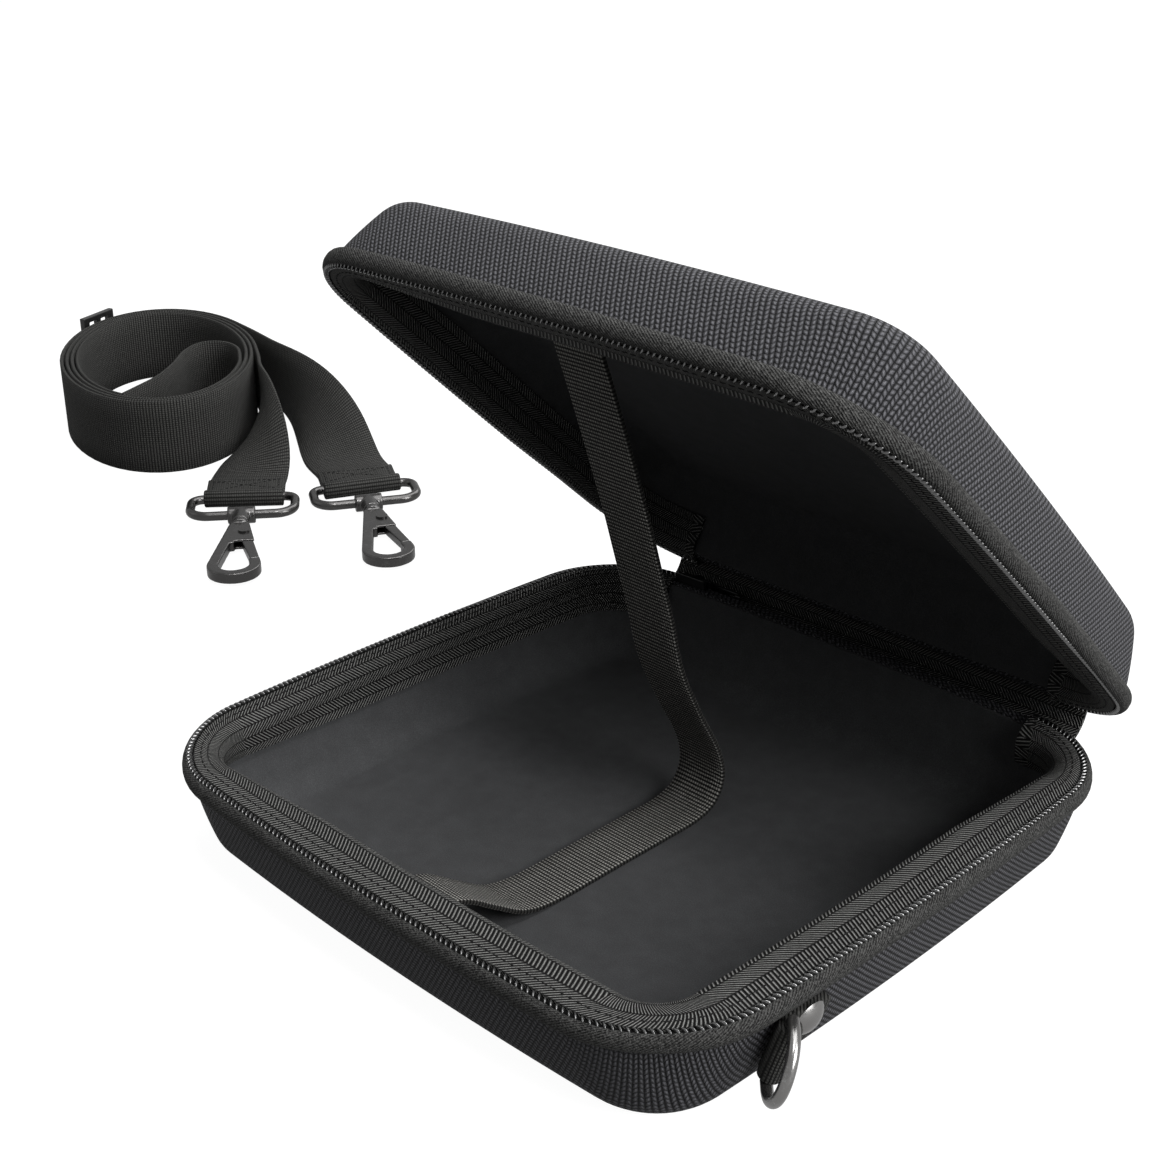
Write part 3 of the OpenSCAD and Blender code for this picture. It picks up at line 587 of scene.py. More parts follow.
class BeadRow:
    """Sets small round pieces along a line with a node tree."""

    def __init__(self) -> None:
        """Builds the node tree."""
        self.tree = bpy.data.node_groups.new("bead_row", "GeometryNodeTree")
        self.sockets: dict[str, str] = {}
        face = self.tree.interface
        face.new_socket(name="Geometry", in_out="INPUT", socket_type="NodeSocketGeometry")
        face.new_socket(name="Geometry", in_out="OUTPUT", socket_type="NodeSocketGeometry")
        for name in ("Pitch", "Length", "Width", "Height", "Slant"):
            made = face.new_socket(name=name, in_out="INPUT", socket_type="NodeSocketFloat")
            self.sockets[name] = made.identifier
        made = face.new_socket(name="Finish", in_out="INPUT", socket_type="NodeSocketMaterial")
        self.sockets["Finish"] = made.identifier
        self.build()

    def add(self, kind: str, settings: dict[str, Any] | None = None, **links: Any) -> bpy.types.Node:
        """Adds a node, with numbers or sockets by input name, underscores standing for spaces."""
        made = self.tree.nodes.new(kind)
        for key, setting in (settings or {}).items():
            setattr(made, key, setting)
        for key, given in links.items():
            target = made.inputs[key.replace("_", " ")]
            if isinstance(given, bpy.types.NodeSocket):
                self.tree.links.new(given, target)
            else:
                target.default_value = given
        return made

    def build(self) -> None:
        """Builds the tree: the line, points at a pitch, a scaled round piece on each."""
        given = self.add("NodeGroupInput").outputs
        curve = self.add("GeometryNodeMeshToCurve", Mesh=given["Geometry"])
        spaced = self.add(
            "GeometryNodeResampleCurve", {"mode": "LENGTH"}, Curve=curve.outputs[0], Length=given["Pitch"]
        )
        ball = self.add("GeometryNodeMeshUVSphere", Segments=10, Rings=6, Radius=0.5)
        tangent = self.add("GeometryNodeInputTangent")
        turn = self.add("FunctionNodeAlignRotationToVector", {"axis": "X"}, Vector=tangent.outputs[0])
        level = self.add(
            "FunctionNodeAlignRotationToVector", {"axis": "Z", "pivot_axis": "X"}, Rotation=turn.outputs[0]
        )
        level.inputs["Vector"].default_value = (0.0, 0.0, 1.0)
        size = self.add("ShaderNodeCombineXYZ", X=given["Length"], Y=given["Width"], Z=given["Height"])
        aslant = self.add("ShaderNodeCombineXYZ", Z=given["Slant"])
        turned = self.add(
            "FunctionNodeRotateRotation",
            {"rotation_space": "LOCAL"},
            Rotation=level.outputs[0],
            Rotate_By=aslant.outputs[0],
        )
        placed = self.add(
            "GeometryNodeInstanceOnPoints",
            Points=spaced.outputs[0],
            Instance=ball.outputs["Mesh"],
            Rotation=turned.outputs[0],
            Scale=size.outputs[0],
        )
        real = self.add("GeometryNodeRealizeInstances", Geometry=placed.outputs[0])
        dressed = self.add("GeometryNodeSetMaterial", Geometry=real.outputs[0], Material=given["Finish"])
        result = self.add("NodeGroupOutput")
        self.tree.links.new(dressed.outputs[0], result.inputs[0])

    def along(
        self,
        name: str,
        lines: Sequence[Sequence[Sequence[float]]],
        bead: Bead,
        pitch: float,
        finish: Finishes,
        place: Matrix | None = None,
    ) -> bpy.types.Object:
        """Sets pieces along lines.

        Args:
            name: Name of the piece.
            lines: Lines of points in millimetres.
            bead: Kind of small piece.
            pitch: Spacing in millimetres.
            finish: Finish of the pieces.
            place: Matrix in metres that puts the result in place.

        Returns:
            One plain mesh object at the origin.
        """
        points: list[Vector] = []
        edges: list[tuple[int, int]] = []
        for line in lines:
            first = len(points)
            points.extend(Vector(p) * MM for p in line)
            edges.extend((first + i, first + i + 1) for i in range(len(line) - 1))
        guide_mesh = bpy.data.meshes.new(name + "_line")
        guide_mesh.from_pydata(points, edges, [])
        guide = bpy.data.objects.new(name + "_line", guide_mesh)
        bpy.context.scene.collection.objects.link(guide)
        modifier = guide.modifiers.new("beads", "NODES")
        modifier.node_group = self.tree
        length, width, height, slant = bead.value
        sizes = {"Pitch": pitch, "Length": length, "Width": width, "Height": height}
        for key, size in sizes.items():
            modifier[self.sockets[key]] = size * MM
        modifier[self.sockets["Slant"]] = math.radians(slant)
        modifier[self.sockets["Finish"]] = finish.material
        graph = bpy.context.evaluated_depsgraph_get()
        mesh = bpy.data.meshes.new_from_object(guide.evaluated_get(graph))
        bpy.data.objects.remove(guide)
        mesh.name = name
        mesh.transform(place or Matrix.Identity(4))
        if place is not None and place.determinant() < 0:
            mesh.flip_normals()
        mesh.shade_smooth()
        made = bpy.data.objects.new(name, mesh)
        bpy.context.scene.collection.objects.link(made)
        return made


# The case


@dataclass(frozen=True)
class CaseForm:
    """Outline and section of the two halves."""

    half_w: float
    half_d: float
    rim_z: float
    front_r: float = 36.0
    rear_r: float = 34.0
    bow_ends: float = 3.8
    bow_front: float = 5.1
    tighten: float = 1.3
    draft: float = 7.0
    edge_r: float = 15.0
    edge_start: float = 20.0
    face_inset: float = 0.2
    wall: float = 4.0
    trim_end: float = 84.0
    corner_steps: int = 14
    side_steps: int = 14
    shell_top: float = 2.1

    @classmethod
    def from_frame(cls) -> CaseForm:
        """Returns the form with its sizes taken from the base shell's box."""
        low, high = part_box("base_shell")
        rim_inset = 0.36
        return cls(
            half_w=(high.x - low.x) / 2 / MM + rim_inset,
            half_d=(high.y - low.y) / 2 / MM + rim_inset,
            rim_z=high.z / MM + cls.shell_top,
        )

    def bowed(self, p: Plane) -> Plane:
        """Returns a point of the outline after its sides have been bowed outwards."""
        x = p[0] * (1 - self.bow_ends * (p[1] / self.half_d) ** 2 / self.half_w)
        y = p[1] * (1 - self.bow_front * (p[0] / self.half_w) ** 2 / self.half_d)
        return x, y

    def arc(self, cx: float, cy: float, r: float, start: float) -> list[Plane]:
        """Returns a quarter circle from the angle start."""
        angles = [math.radians(start + 90 * i / self.corner_steps) for i in range(self.corner_steps + 1)]
        return [(cx + r * math.cos(a), cy + r * math.sin(a)) for a in angles]

    def side(self, p: Plane, q: Plane) -> list[Plane]:
        """Returns the points between two corners."""
        shares = [i / self.side_steps for i in range(1, self.side_steps)]
        return [(p[0] + (q[0] - p[0]) * t, p[1] + (q[1] - p[1]) * t) for t in shares]

    def radii(self, d: float) -> tuple[float, float]:
        """Returns the front and rear corner radii at inset d."""
        least = 3.0
        return max(self.front_r - self.tighten * d, least), max(self.rear_r - self.tighten * d, least)

    def outline(self, d: float) -> list[Plane]:
        """Returns the closed outline at inset d, anticlockwise from the front right corner."""
        x, y = self.half_w - d, self.half_d - d
        f, r = self.radii(d)
        loop = [
            *self.arc(x - f, f - y, f, -90),
            *self.side((x, f - y), (x, y - r)),
            *self.arc(x - r, y - r, r, 0),
            *self.side((x - r, y), (r - x, y)),
            *self.arc(r - x, y - r, r, 90),
            *self.side((-x, y - r), (-x, f - y)),
            *self.arc(f - x, f - y, f, 180),
            *self.side((f - x, -y), (x - f, -y)),
        ]
        return [self.bowed(p) for p in loop]

    def track(self, d: float) -> list[Plane]:
        """Returns the open line at inset d over the left, front and right, ending on the back."""
        x, y = self.half_w - d, self.half_d - d
        f, r = self.radii(d)
        loop = [
            (-self.trim_end, y),
            *self.arc(r - x, y - r, r, 90),
            *self.side((-x, y - r), (-x, f - y)),
            *self.arc(f - x, f - y, f, 180),
            *self.side((f - x, -y), (x - f, -y)),
            *self.arc(x - f, f - y, f, -90),
            *self.side((x, f - y), (x, y - r)),
            *self.arc(x - r, y - r, r, 0),
            (self.trim_end, y),
        ]
        return [self.bowed(p) for p in loop]

    def edge_depth(self, h: float) -> float:
        """Returns the depth at which the rounded edge starts."""
        return h - self.edge_r * (1 - math.sin(math.radians(self.edge_start)))

    def wall_inset(self, v: float, h: float) -> float:
        """Returns how far the wall's face lies inside the zip line at depth v."""
        return self.face_inset + self.draft * (v / self.edge_depth(h)) ** 1.46

    def profile(self, h: float, t: float, top: float) -> list[Plane]:
        """Returns a half's section as insets and depths.

        Args:
            h: Depth of the half.
            t: Distance inside the outer face.
            top: Depth of the section's upper end.

        Returns:
            Points from the upper end down to the flat face.
        """
        e = self.edge_depth(h)
        walls = 8
        line = [
            (self.wall_inset(v, h) + t, v)
            for v in (top + (e - top) * i / walls for i in range(walls))
        ]
        r = self.edge_r - 0.8 * t
        turns = 10
        for i in range(turns + 1):
            a = math.radians(self.edge_start + (90 - self.edge_start) * i / turns)
            out = r * (math.cos(math.radians(self.edge_start)) - math.cos(a))
            down = r * (math.sin(a) - math.sin(math.radians(self.edge_start)))
            line.append((self.wall_inset(e, h) + t + out, e + down))
        return line


@dataclass
class CaseHalf:
    """One half of the case: shell, lining, binding, tape and teeth."""

    form: CaseForm
    body: str
    depth: float
    place: Matrix
    beads: BeadRow
    tooth_shift: float
    tooth_pitch: float = 2.1
    lining_gap: float = 0.1
    lining: float = 1.2
    flat_insets: tuple[float, ...] = (34.0, 52.0, 75.0, 98.0, 109.0)

    def rings(self, profile: Sequence[Plane]) -> tuple[list[list[Vector]], list[float]]:
        """Returns the rings of a section and the cloth's length down to each."""
        z = self.form.rim_z
        rows = [[Vector((*p, z - v)) for p in self.form.outline(d)] for d, v in profile]
        lengths = running(profile, False)
        return rows, lengths

    def wall(self, skin: Skin, profile: Sequence[Plane]) -> None:
        """Adds a wall and its flat face to a skin, the cloth of the face drawn down over the wall."""
        rows, lengths = self.rings(profile)
        last_inset, last_depth = profile[-1]
        edge = [Vector(p) for p in self.form.outline(last_inset)]
        count = len(edge)
        coords = []
        for length in lengths:
            row = []
            for i in range(count + 1):
                way = (edge[(i + 1) % count] - edge[(i - 1) % count]).normalized()
                out = Vector((way.y, -way.x)) * (lengths[-1] - length)
                row.append(tuple(edge[i % count] + out))
            coords.append(row)
        skin.grid(rows, coords, True)
        flat = [last_inset, *(d for d in self.flat_insets if d > last_inset + 4)]
        z = self.form.rim_z - last_depth
        flats = [[Vector((*p, z)) for p in self.form.outline(d)] for d in flat]
        first = len(skin.points)
        for ring in flats:
            skin.points.extend(p * MM for p in ring)
        count = len(flats[0])
        for j in range(len(flats) - 1):
            for i in range(count):
                k = (i + 1) % count
                corners = [first + j * count + i, first + j * count + k]
                corners += [first + (j + 1) * count + k, first + (j + 1) * count + i]
                skin.face(corners, [(skin.points[c].x / MM, skin.points[c].y / MM) for c in corners])
        skin.cap(first + (len(flats) - 1) * count, count)

    def tray(self, name: str, t_out: float, t_in: float, top: float, finish: Finishes) -> bpy.types.Object:
        """Makes a hollow tray between two distances from the outer face."""
        skin = Skin(name, self.place)
        outer = self.form.profile(self.depth, t_out, top)
        inner = self.form.profile(self.depth, t_in, top)
        self.wall(skin, outer)
        self.wall(skin, inner)
        rim = [[Vector((*p, self.form.rim_z - top)) for p in self.form.outline(q[0][0])] for q in (outer, inner)]
        along = running([(*p, 0.0) for p in self.form.outline(0.0)], True)
        skin.grid(rim, [[(a, 0.0) for a in along], [(a, t_in - t_out) for a in along]], True)
        return skin.make(finish)

    def trim(self, name: str, sections: Sequence[Sequence[Plane]], finish: Finishes) -> bpy.types.Object:
        """Makes a strip along the zip line.

        Args:
            name: Name of the piece.
            sections: A closed section of insets and depths for each point of the track.
            finish: Finish of the strip.

        Returns:
            The strip.
        """
        skin = Skin(name, self.place)
        z = self.form.rim_z
        lengths = running([(*p, 0.0) for p in self.form.track(0.0)], False)
        rows = []
        for i, section in enumerate(sections):
            tracks = [self.form.track(d)[i] for d, _ in section]
            rows.append([Vector((*p, z - v)) for p, (_, v) in zip(tracks, section)])
        count = len(sections[0])
        around = running(sections[0], True)
        first = len(skin.points)
        for row in rows:
            skin.points.extend(p * MM for p in row)
        for j in range(len(rows) - 1):
            for i in range(count):
                k = (i + 1) % count
                corners = [first + j * count + i, first + j * count + k]
                corners += [first + (j + 1) * count + k, first + (j + 1) * count + i]
                coords = [(lengths[j], around[i]), (lengths[j], around[i + 1])]
                coords += [(lengths[j + 1], around[i + 1]), (lengths[j + 1], around[i])]
                skin.face(corners, coords)
        skin.cap(first, count)
        skin.cap(first + (len(rows) - 1) * count, count, True)
        return skin.make(finish, 60.0)

    def binding(self) -> bpy.types.Object:
        """Makes the padded binding outside the teeth."""
        bulge, low, lip = 2.2, 6.5, 0.4
        points = []
        for i in range(13):
            a = math.pi * (i / 12 - 0.5)
            middle = (low + lip) / 2
            swell = 1.0 if abs(a) > 1.2 else 1.06
            points.append((-bulge * math.cos(a) * swell - 0.2, middle + (low - lip) / 2 * math.sin(a)))
        section = [(-0.45, lip + 0.3), *points, (-0.02, low - 0.5), (-0.02, 2.6), (-0.45, 2.3)]
        count = len(self.form.track(0.0))
        return self.trim(self.body + "_binding", [section] * count, Finishes.BINDING)

    def tape_line(self, steep: float) -> list[Plane]:
        """Returns the tape's section between a flat padded collar and one that falls steeply."""
        flat = [
            (2.3, 0.9), (6.0, 0.78), (10.0, 0.78), (13.5, 0.9), (16.6, 1.4), (18.0, 2.9), (17.2, 4.8), (14.4, 6.6),
            (10.6, 8.4),
        ]
        fall = [(2.3, 0.9), (4.4, 1.3), (6.2, 2.6), (7.5, 4.6)]
        for v in (7.0, 9.6, 12.2, 14.6, 17.0):
            least = self.form.wall_inset(v, self.depth) + self.form.wall + self.lining_gap + self.lining + 0.9
            fall.append((max(8.3, least), v))
        mixed = [(a[0] + (b[0] - a[0]) * steep, a[1] + (b[1] - a[1]) * steep) for a, b in zip(flat, fall)]
        return [(p.x, p.y) for p in smooth_line([(*q, 0.0) for q in mixed], 3)]

    def steepness(self) -> list[float]:
        """Returns for each point of the track how steeply the tape falls there."""
        made = []
        for x, y in self.form.track(0.0):
            away = (y / self.form.half_d - x / self.form.half_w) / 2
            made.append(min(1.0, max(0.0, 0.5 + 1.4 * away)))
        return made

    def tape(self) -> bpy.types.Object:
        """Makes the herringbone tape that folds over the lining."""
        sections = [thicken(self.tape_line(steep), 0.8) for steep in self.steepness()]
        return self.trim(self.body + "_tape", sections, Finishes.TAPE)

    def cord(self) -> bpy.types.Object:
        """Makes the cord that carries the teeth."""
        section = [(-0.3, 0.9), (0.0, 0.7), (1.4, 0.7), (1.7, 0.9), (1.7, 2.05), (-0.3, 2.05)]
        count = len(self.form.track(0.0))
        return self.trim(self.body + "_cord", [section] * count, Finishes.CORD)

    def teeth(self) -> bpy.types.Object:
        """Makes the row of teeth, lower towards the hinge, where the halves part sideways."""
        line = []
        for x, y in self.form.track(0.7):
            share = min(1.0, max(0.0, (y - 25.0) / 30.0))
            line.append(Vector((x, y, self.form.rim_z - 0.45 - 0.6 * share)))
        for end, inner in ((0, 1), (-1, -2)):
            way = (line[inner] - line[end]).normalized()
            line[end] = line[end] + way * self.tooth_pitch * self.tooth_shift
        return self.beads.along(
            self.body + "_teeth", [line], Bead.TOOTH, self.tooth_pitch, Finishes.TEETH, self.place
        )

    def stitches(self) -> bpy.types.Object:
        """Makes the thread that holds the tape, in one row beside the teeth."""
        lines = []
        for place in (3,):
            line = []
            for i, steep in enumerate(self.steepness()):
                section = self.tape_line(steep)
                (d0, v0), (d, v), (d1, v1) = section[place - 1], section[place], section[place + 1]
                way = Vector((d1 - d0, v1 - v0)).normalized()
                x, y = self.form.track(d + way.y * 0.42)[i]
                line.append((x, y, self.form.rim_z - v + way.x * 0.42))
            lines.append(line)
        return self.beads.along(
            self.body + "_tape_thread", lines, Bead.STITCH, 3.1, Finishes.THREAD, self.place
        )

    def build(self) -> None:
        """Makes and settles every piece of the half."""
        wall = self.form.wall
        shell = self.tray(self.body + "_cover", 0.0, wall, self.form.shell_top, Finishes.SHELL)
        settle(shell, Finishes.SHELL, self.body, self.body + "_shell")
        start = wall + self.lining_gap
        lining = self.tray(self.body + "_liner", start, start + self.lining, 3.0, Finishes.LINING)
        settle(lining, Finishes.LINING, self.body, self.body + "_lining")
        settle(self.binding(), Finishes.BINDING, self.body, self.body + "_rim_band")
        settle(self.tape(), Finishes.TAPE, self.body, self.body + "_inner_tape")
        settle(self.cord(), Finishes.CORD, self.body)
        settle(self.teeth(), Finishes.TEETH, self.body, self.body + "_zip_teeth")
        settle(self.stitches(), Finishes.THREAD, self.body)


@dataclass
class Strip:
    """A flat strap: a line with a direction across it, a width and a thickness."""

    name: str
    width: float
    thick: float
    finish: Finishes
    edge: float = 0.45

    def section(self) -> list[Plane]:
        """Returns the closed section: place across the strap and height."""
        w, t, e = self.width / 2, self.thick / 2, self.edge
        top = [(-w, -t + e), (-w + e, -t), (-w / 2, -t), (0.0, -t), (w / 2, -t), (w - e, -t), (w, -t + e)]
        return [*top, *((-a, -b) for a, b in top)]

    def make(self, centres: Sequence[Vector], across: Sequence[Vector]) -> bpy.types.Object:
        """Makes the strap along a line, with the direction across it at each point."""
        skin = Skin(self.name)
        section = self.section()
        count = len(section)
        lengths = running(centres, False)
        for i, centre in enumerate(centres):
            way = centres[min(i + 1, len(centres) - 1)] - centres[max(i - 1, 0)]
            out = way.normalized().cross(across[i]).normalized()
            skin.points.extend((centre + across[i] * a + out * b) * MM for a, b in section)
        for j in range(len(centres) - 1):
            for i in range(count):
                k = (i + 1) % count
                corners = [j * count + i, j * count + k, (j + 1) * count + k, (j + 1) * count + i]
                coords = [(lengths[j], section[i][0]), (lengths[j], section[k][0])]
                coords += [(lengths[j + 1], section[k][0]), (lengths[j + 1], section[i][0])]
                skin.face(corners, coords)
        skin.cap(0, count)
        skin.cap((len(centres) - 1) * count, count, True)
        return skin.make(self.finish, 50.0)


@dataclass
class Hinge:
    """The fabric hinge strip and the stay strap, which follow both halves."""

    form: CaseForm
    lid_depth: float
    place: Matrix
    spine_w: float = 186.0
    spine_t: float = 1.2
    stay_w: float = 20.0
    stay_t: float = 1.6
    sewn_gap: float = 0.55
    sewn_from: float = 8.0
    sewn_to: float = 22.0
    slack_base: Plane = (10.5, -5.0)
    slack_lid: Plane = (1.9, -10.4)
    base_depth: float = 38.0

    def opened(self, y: float, depth: float) -> Plane:
        """Returns the opened place of a lid point given by Y and its depth above the rim plane."""
        p = self.place @ (Vector((0.0, y, self.form.rim_z - depth)) * MM)
        return p.y / MM, p.z / MM

    def back_y(self, x: float) -> float:
        """Returns the Y of the zip line's back at x, where it may turn into a corner."""
        form = self.form
        beyond = max(0.0, abs(x) - (form.half_w - form.rear_r))
        turned_in = form.rear_r - math.sqrt(form.rear_r**2 - beyond**2)
        return form.bowed((x, form.half_d))[1] - turned_in

    def strip_line(self, x: float) -> list[Vector]:
        """Returns the strip's line in the plane at x, as Y and Z."""
        form = self.form
        y = self.back_y(x)
        off = self.spine_t / 2 + 0.15
        base = []
        for v in (self.sewn_to, 17.0, 12.0, self.sewn_from):
            base.append(Vector((y - form.wall_inset(v, self.base_depth) + off, form.rim_z - v)))
        lid = []
        for v in (self.sewn_from, 12.0, 17.0, self.sewn_to):
            lid.append(Vector(self.opened(y - form.wall_inset(v, self.lid_depth) + off, v)))
        b, c = base[-1], lid[0]
        p, q = b + Vector(self.slack_base), c + Vector(self.slack_lid)
        free = []
        for i in range(1, 14):
            t = i / 14
            s = 1 - t
            free.append(s**3 * b + 3 * s * s * t * p + 3 * s * t * t * q + t**3 * c)
        return [*base, *free, *lid]

    def spine(self) -> None:
        """Makes the strip between the halves, shaped to meet the lid as it stands open."""
        skin = Skin("hinge_strip")
        stations = 24
        section_count = 0
        rows = []
        for i in range(stations + 1):
            x = -self.spine_w / 2 + self.spine_w * i / stations
            section = thicken(self.strip_line(x), self.spine_t)
            section_count = len(section)
            rows.append([Vector((x, *p)) for p in section])
        around = running([(p.y, p.z) for p in rows[0]], True)
        for row in rows:
            skin.points.extend(p * MM for p in row)
        for j in range(stations):
            for i in range(section_count):
                k = (i + 1) % section_count
                corners = [j * section_count + i, j * section_count + k]
                corners += [(j + 1) * section_count + k, (j + 1) * section_count + i]
                x0, x1 = rows[j][0].x, rows[j + 1][0].x
                coords = [(x0, around[i]), (x0, around[i + 1]), (x1, around[i + 1]), (x1, around[i])]
                skin.face(corners, coords)
        skin.cap(0, section_count)
        skin.cap(stations * section_count, section_count, True)
        made = skin.make(Finishes.TAPE, 60.0)
        line = self.strip_line(0.0)
        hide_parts("hinge_spine")
        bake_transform(made)
        LOG.info("%s follows both halves", made.name)

    def sewn_inset(self, v: float, h: float) -> float:
        """Returns the inset of the stay strap's middle where it lies on the lining at depth v."""
        form = self.form
        return form.wall_inset(v, h) + form.wall + 0.1 + 1.2 + self.stay_t / 2 + self.sewn_gap

    def stay(self) -> None:
        """Makes the limp strap that keeps the lid from falling back."""
        form = self.form
        d, z = form.half_d, form.rim_z
        sewn = (4.0, 7.0, 10.0)
        route = [
            *(self.opened(self.sewn_inset(v, self.lid_depth) - d, v + 0.0) for v in sewn),
            self.opened(11.6 - d, 12.4), self.opened(16.0 - d, 10.5),
            (-24.0, 182.0), (-19.0, 168.0), (-12.0, 148.0), (-4.0, 124.0), (2.0, 104.0), (8.0, 84.0),
            (13.0, 65.0), (22.0, 46.0), (32.0, 28.0), (35.0, 16.0), (31.0, 7.5), (22.0, 4.2), (8.0, 3.85),
            (-18.0, 3.85), (-44.0, 3.85), (-58.0, 6.5), (-70.0, 14.0), (-82.0, 22.0), (-95.0, 25.7),
            (12.0 - d, z - 12.6),
            *((self.sewn_inset(v, self.base_depth) - d, z - v) for v in reversed(sewn)),
        ]
        line = smooth_line([(0.0, *p) for p in route], 8)
        strip = Strip("stay_ribbon", self.stay_w, self.stay_t, Finishes.RIBBON, 0.3)
        made = strip.make(line, [Vector((1.0, 0.0, 0.0))] * len(line))
        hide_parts("stay_strap")
        top = route[0][1] * MM
        top - 0.01
        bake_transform(made)
        LOG.info("%s follows both halves", made.name)


# The shoulder strap


@dataclass(frozen=True)
class RingPlace:
    """Where a strap's ring lies and which way its hook points."""

    number: int
    x: float
    y: float
    direction: float

    def matrix(self) -> Matrix:
        """Returns the ring's own directions as a matrix in millimetres."""
        return Matrix.Translation((self.x, self.y, 0.0)) @ Matrix.Rotation(math.radians(self.direction), 4, "Z")


@dataclass
class ShoulderStrap:
    """The webbing, rolled on its edge, with its two sewn ends."""

    width: float = 38.0
    thick: float = 1.9
    turn: float = 45.5
    at: Plane = (-243.0, 430.0)
    tilt: float = 13.7
    half_a: float = 54.0
    half_b: float = 86.0
    layer: float = 2.7
    start_a: float = 35.0
    end_a: float = 705.0
    end_b: float = 600.0
    wire_r: float = 2.2
    ring_half: float = 10.8
    fold_l: float = 26.0
    inner_fold: tuple[Plane, ...] = (
        (-202.0, 438.0), (-211.0, 449.0), (-223.0, 449.0), (-230.0, 435.0), (-232.0, 412.0),
        (-236.0, 391.0), (-243.0, 374.0),
    )
    tail_1: tuple[Plane, ...] = ((-188.0, 421.0), (-184.0, 396.0), (-183.0, 370.0), (-182.0, 348.0))
    tail_2: tuple[Plane, ...] = (
        (-197.0, 468.0), (-180.0, 443.0), (-163.0, 415.0), (-149.0, 388.0), (-139.0, 362.0),
    )

    @property
    def bar_z(self) -> float:
        """Height of the ring's bar above the ground."""
        return self.wire_r + 0.08 + self.thick + 0.05

    def strand(self, angle: float, layers: float) -> Plane:
        """Returns a point of the roll at an angle, drawn in by some layers at its start."""
        drawn = self.layer * (layers + 2 * angle / 360)
        a = math.radians(angle)
        x, y = (self.half_a - drawn) * math.cos(a), (self.half_b - drawn) * math.sin(a)
        c, s = math.cos(math.radians(self.tilt)), math.sin(math.radians(self.tilt))
        return self.at[0] + x * c - y * s, self.at[1] + x * s + y * c

    def ground(self, p: Plane) -> Vector:
        """Turns a point of the strap's own directions into the case's."""
        c, s = math.cos(math.radians(self.turn)), math.sin(math.radians(self.turn))
        return Vector((p[0] * c - p[1] * s, p[0] * s + p[1] * c, 0.0))

    def roll(self) -> list[Vector]:
        """Returns the roll's line on the ground, from the second tail's start to the first's."""
        step = 6.0
        outer = [
            self.strand(self.start_a + step * i, 0)
            for i in range(int((self.end_a - self.start_a) / step) + 1)
        ]
        inner = [self.strand(self.end_b - step * i, 1) for i in range(int(self.end_b / step) + 1)]
        fold = smooth_line([(*p, 0.0) for p in (outer[-1], *self.inner_fold, inner[0])], 6)
        line = [*outer, *((p.x, p.y) for p in fold[1:-1]), *inner]
        return [self.ground(p) for p in line]

    def tail(self, start: Vector, middle: Sequence[Plane], ring: RingPlace) -> tuple[list[Vector], list[Vector]]:
        """Returns the line and the directions across of a tail and its sewn end."""
        place = ring.matrix()
        flat_end = place @ Vector((-self.ring_half - self.fold_l, 0.0, 0.0))
        beyond = place @ Vector((-self.ring_half, 0.0, 0.0))
        points = [start, *(self.ground(p) for p in middle), flat_end, beyond]
        line = smooth_line(points, 6)
        count = len(line) - 7
        centres: list[Vector] = []
        across: list[Vector] = []
        for i in range(count + 1):
            t = min(1.0, max(0.0, (i / count - 0.25) / 0.7))
            lay = math.radians(90 * (1 - t * t * (3 - 2 * t)))
            way = (line[i + 1] - line[max(i - 1, 0)]).normalized()
            side = Vector((-way.y, way.x, 0.0))
            high = self.width / 2 * math.sin(lay) + self.thick / 2 * math.cos(lay)
            centres.append(Vector((line[i].x, line[i].y, high)))
            across.append(side * math.cos(lay) + Vector((0.0, 0.0, math.sin(lay))))
        side = across[-1]
        radius = self.wire_r + 0.08 + self.thick / 2
        low = self.thick / 2
        eye: list[Plane] = [(-self.ring_half - 14.0, low), (-self.ring_half - 6.0, low + 0.03)]
        for i in range(13):
            a = math.radians(-100 + 210 * i / 12)
            eye.append((-self.ring_half + radius * math.cos(a), self.bar_z + radius * math.sin(a)))
        eye += [(-self.ring_half - 5.5, self.bar_z + 1.4), (-self.ring_half - 9.0, 3.6)]
        eye += [(-self.ring_half - 14.0, low + self.thick), (-self.ring_half - self.fold_l, low + self.thick)]
        for x, z in eye:
            centres.append(place @ Vector((x, 0.0, z)))
            across.append(side)
        return centres, across

    def build(self, rings: Sequence[RingPlace], beads: BeadRow) -> None:
        """Makes the webbing in one piece and the seams of its sewn ends."""
        roll = self.roll()
        upright = Vector((0.0, 0.0, 1.0))
        second, second_across = self.tail(roll[0], self.tail_2, rings[1])
        first, first_across = self.tail(roll[-1], self.tail_1, rings[0])
        middle = [p + upright * self.width / 2 for p in roll]
        centres = [*reversed(second), *middle[1:-1], *first]
        across = [*(-a for a in reversed(second_across)), *([upright] * (len(middle) - 2)), *first_across]
        across = self.steady(across)
        strip = Strip("strap_webbing", self.width, self.thick, Finishes.WEBBING)
        made = strip.make(centres, across)
        settle(made, Finishes.WEBBING, "strap", "strap_roll", "strap_tail_1", "strap_tail_2")
        lines = []
        half = self.width / 2 - 3.0
        top = 2 * self.thick + 0.1
        for ring in rings:
            place = ring.matrix()
            a, b = -self.ring_half - 12.0, -self.ring_half - self.fold_l + 2.0
            box = [(a, -half), (a, half), (b, half), (b, -half), (a, -half)]
            cross = [(a, -half), (b, half)], [(a, half), (b, -half)]
            for run in (box, *cross):
                lines.append([tuple(place @ Vector((x, y, top))) for x, y in run])
        seams = beads.along("strap_seams", lines, Bead.FINE_STITCH, 2.4, Finishes.THREAD)
        settle(seams, Finishes.THREAD, "strap")

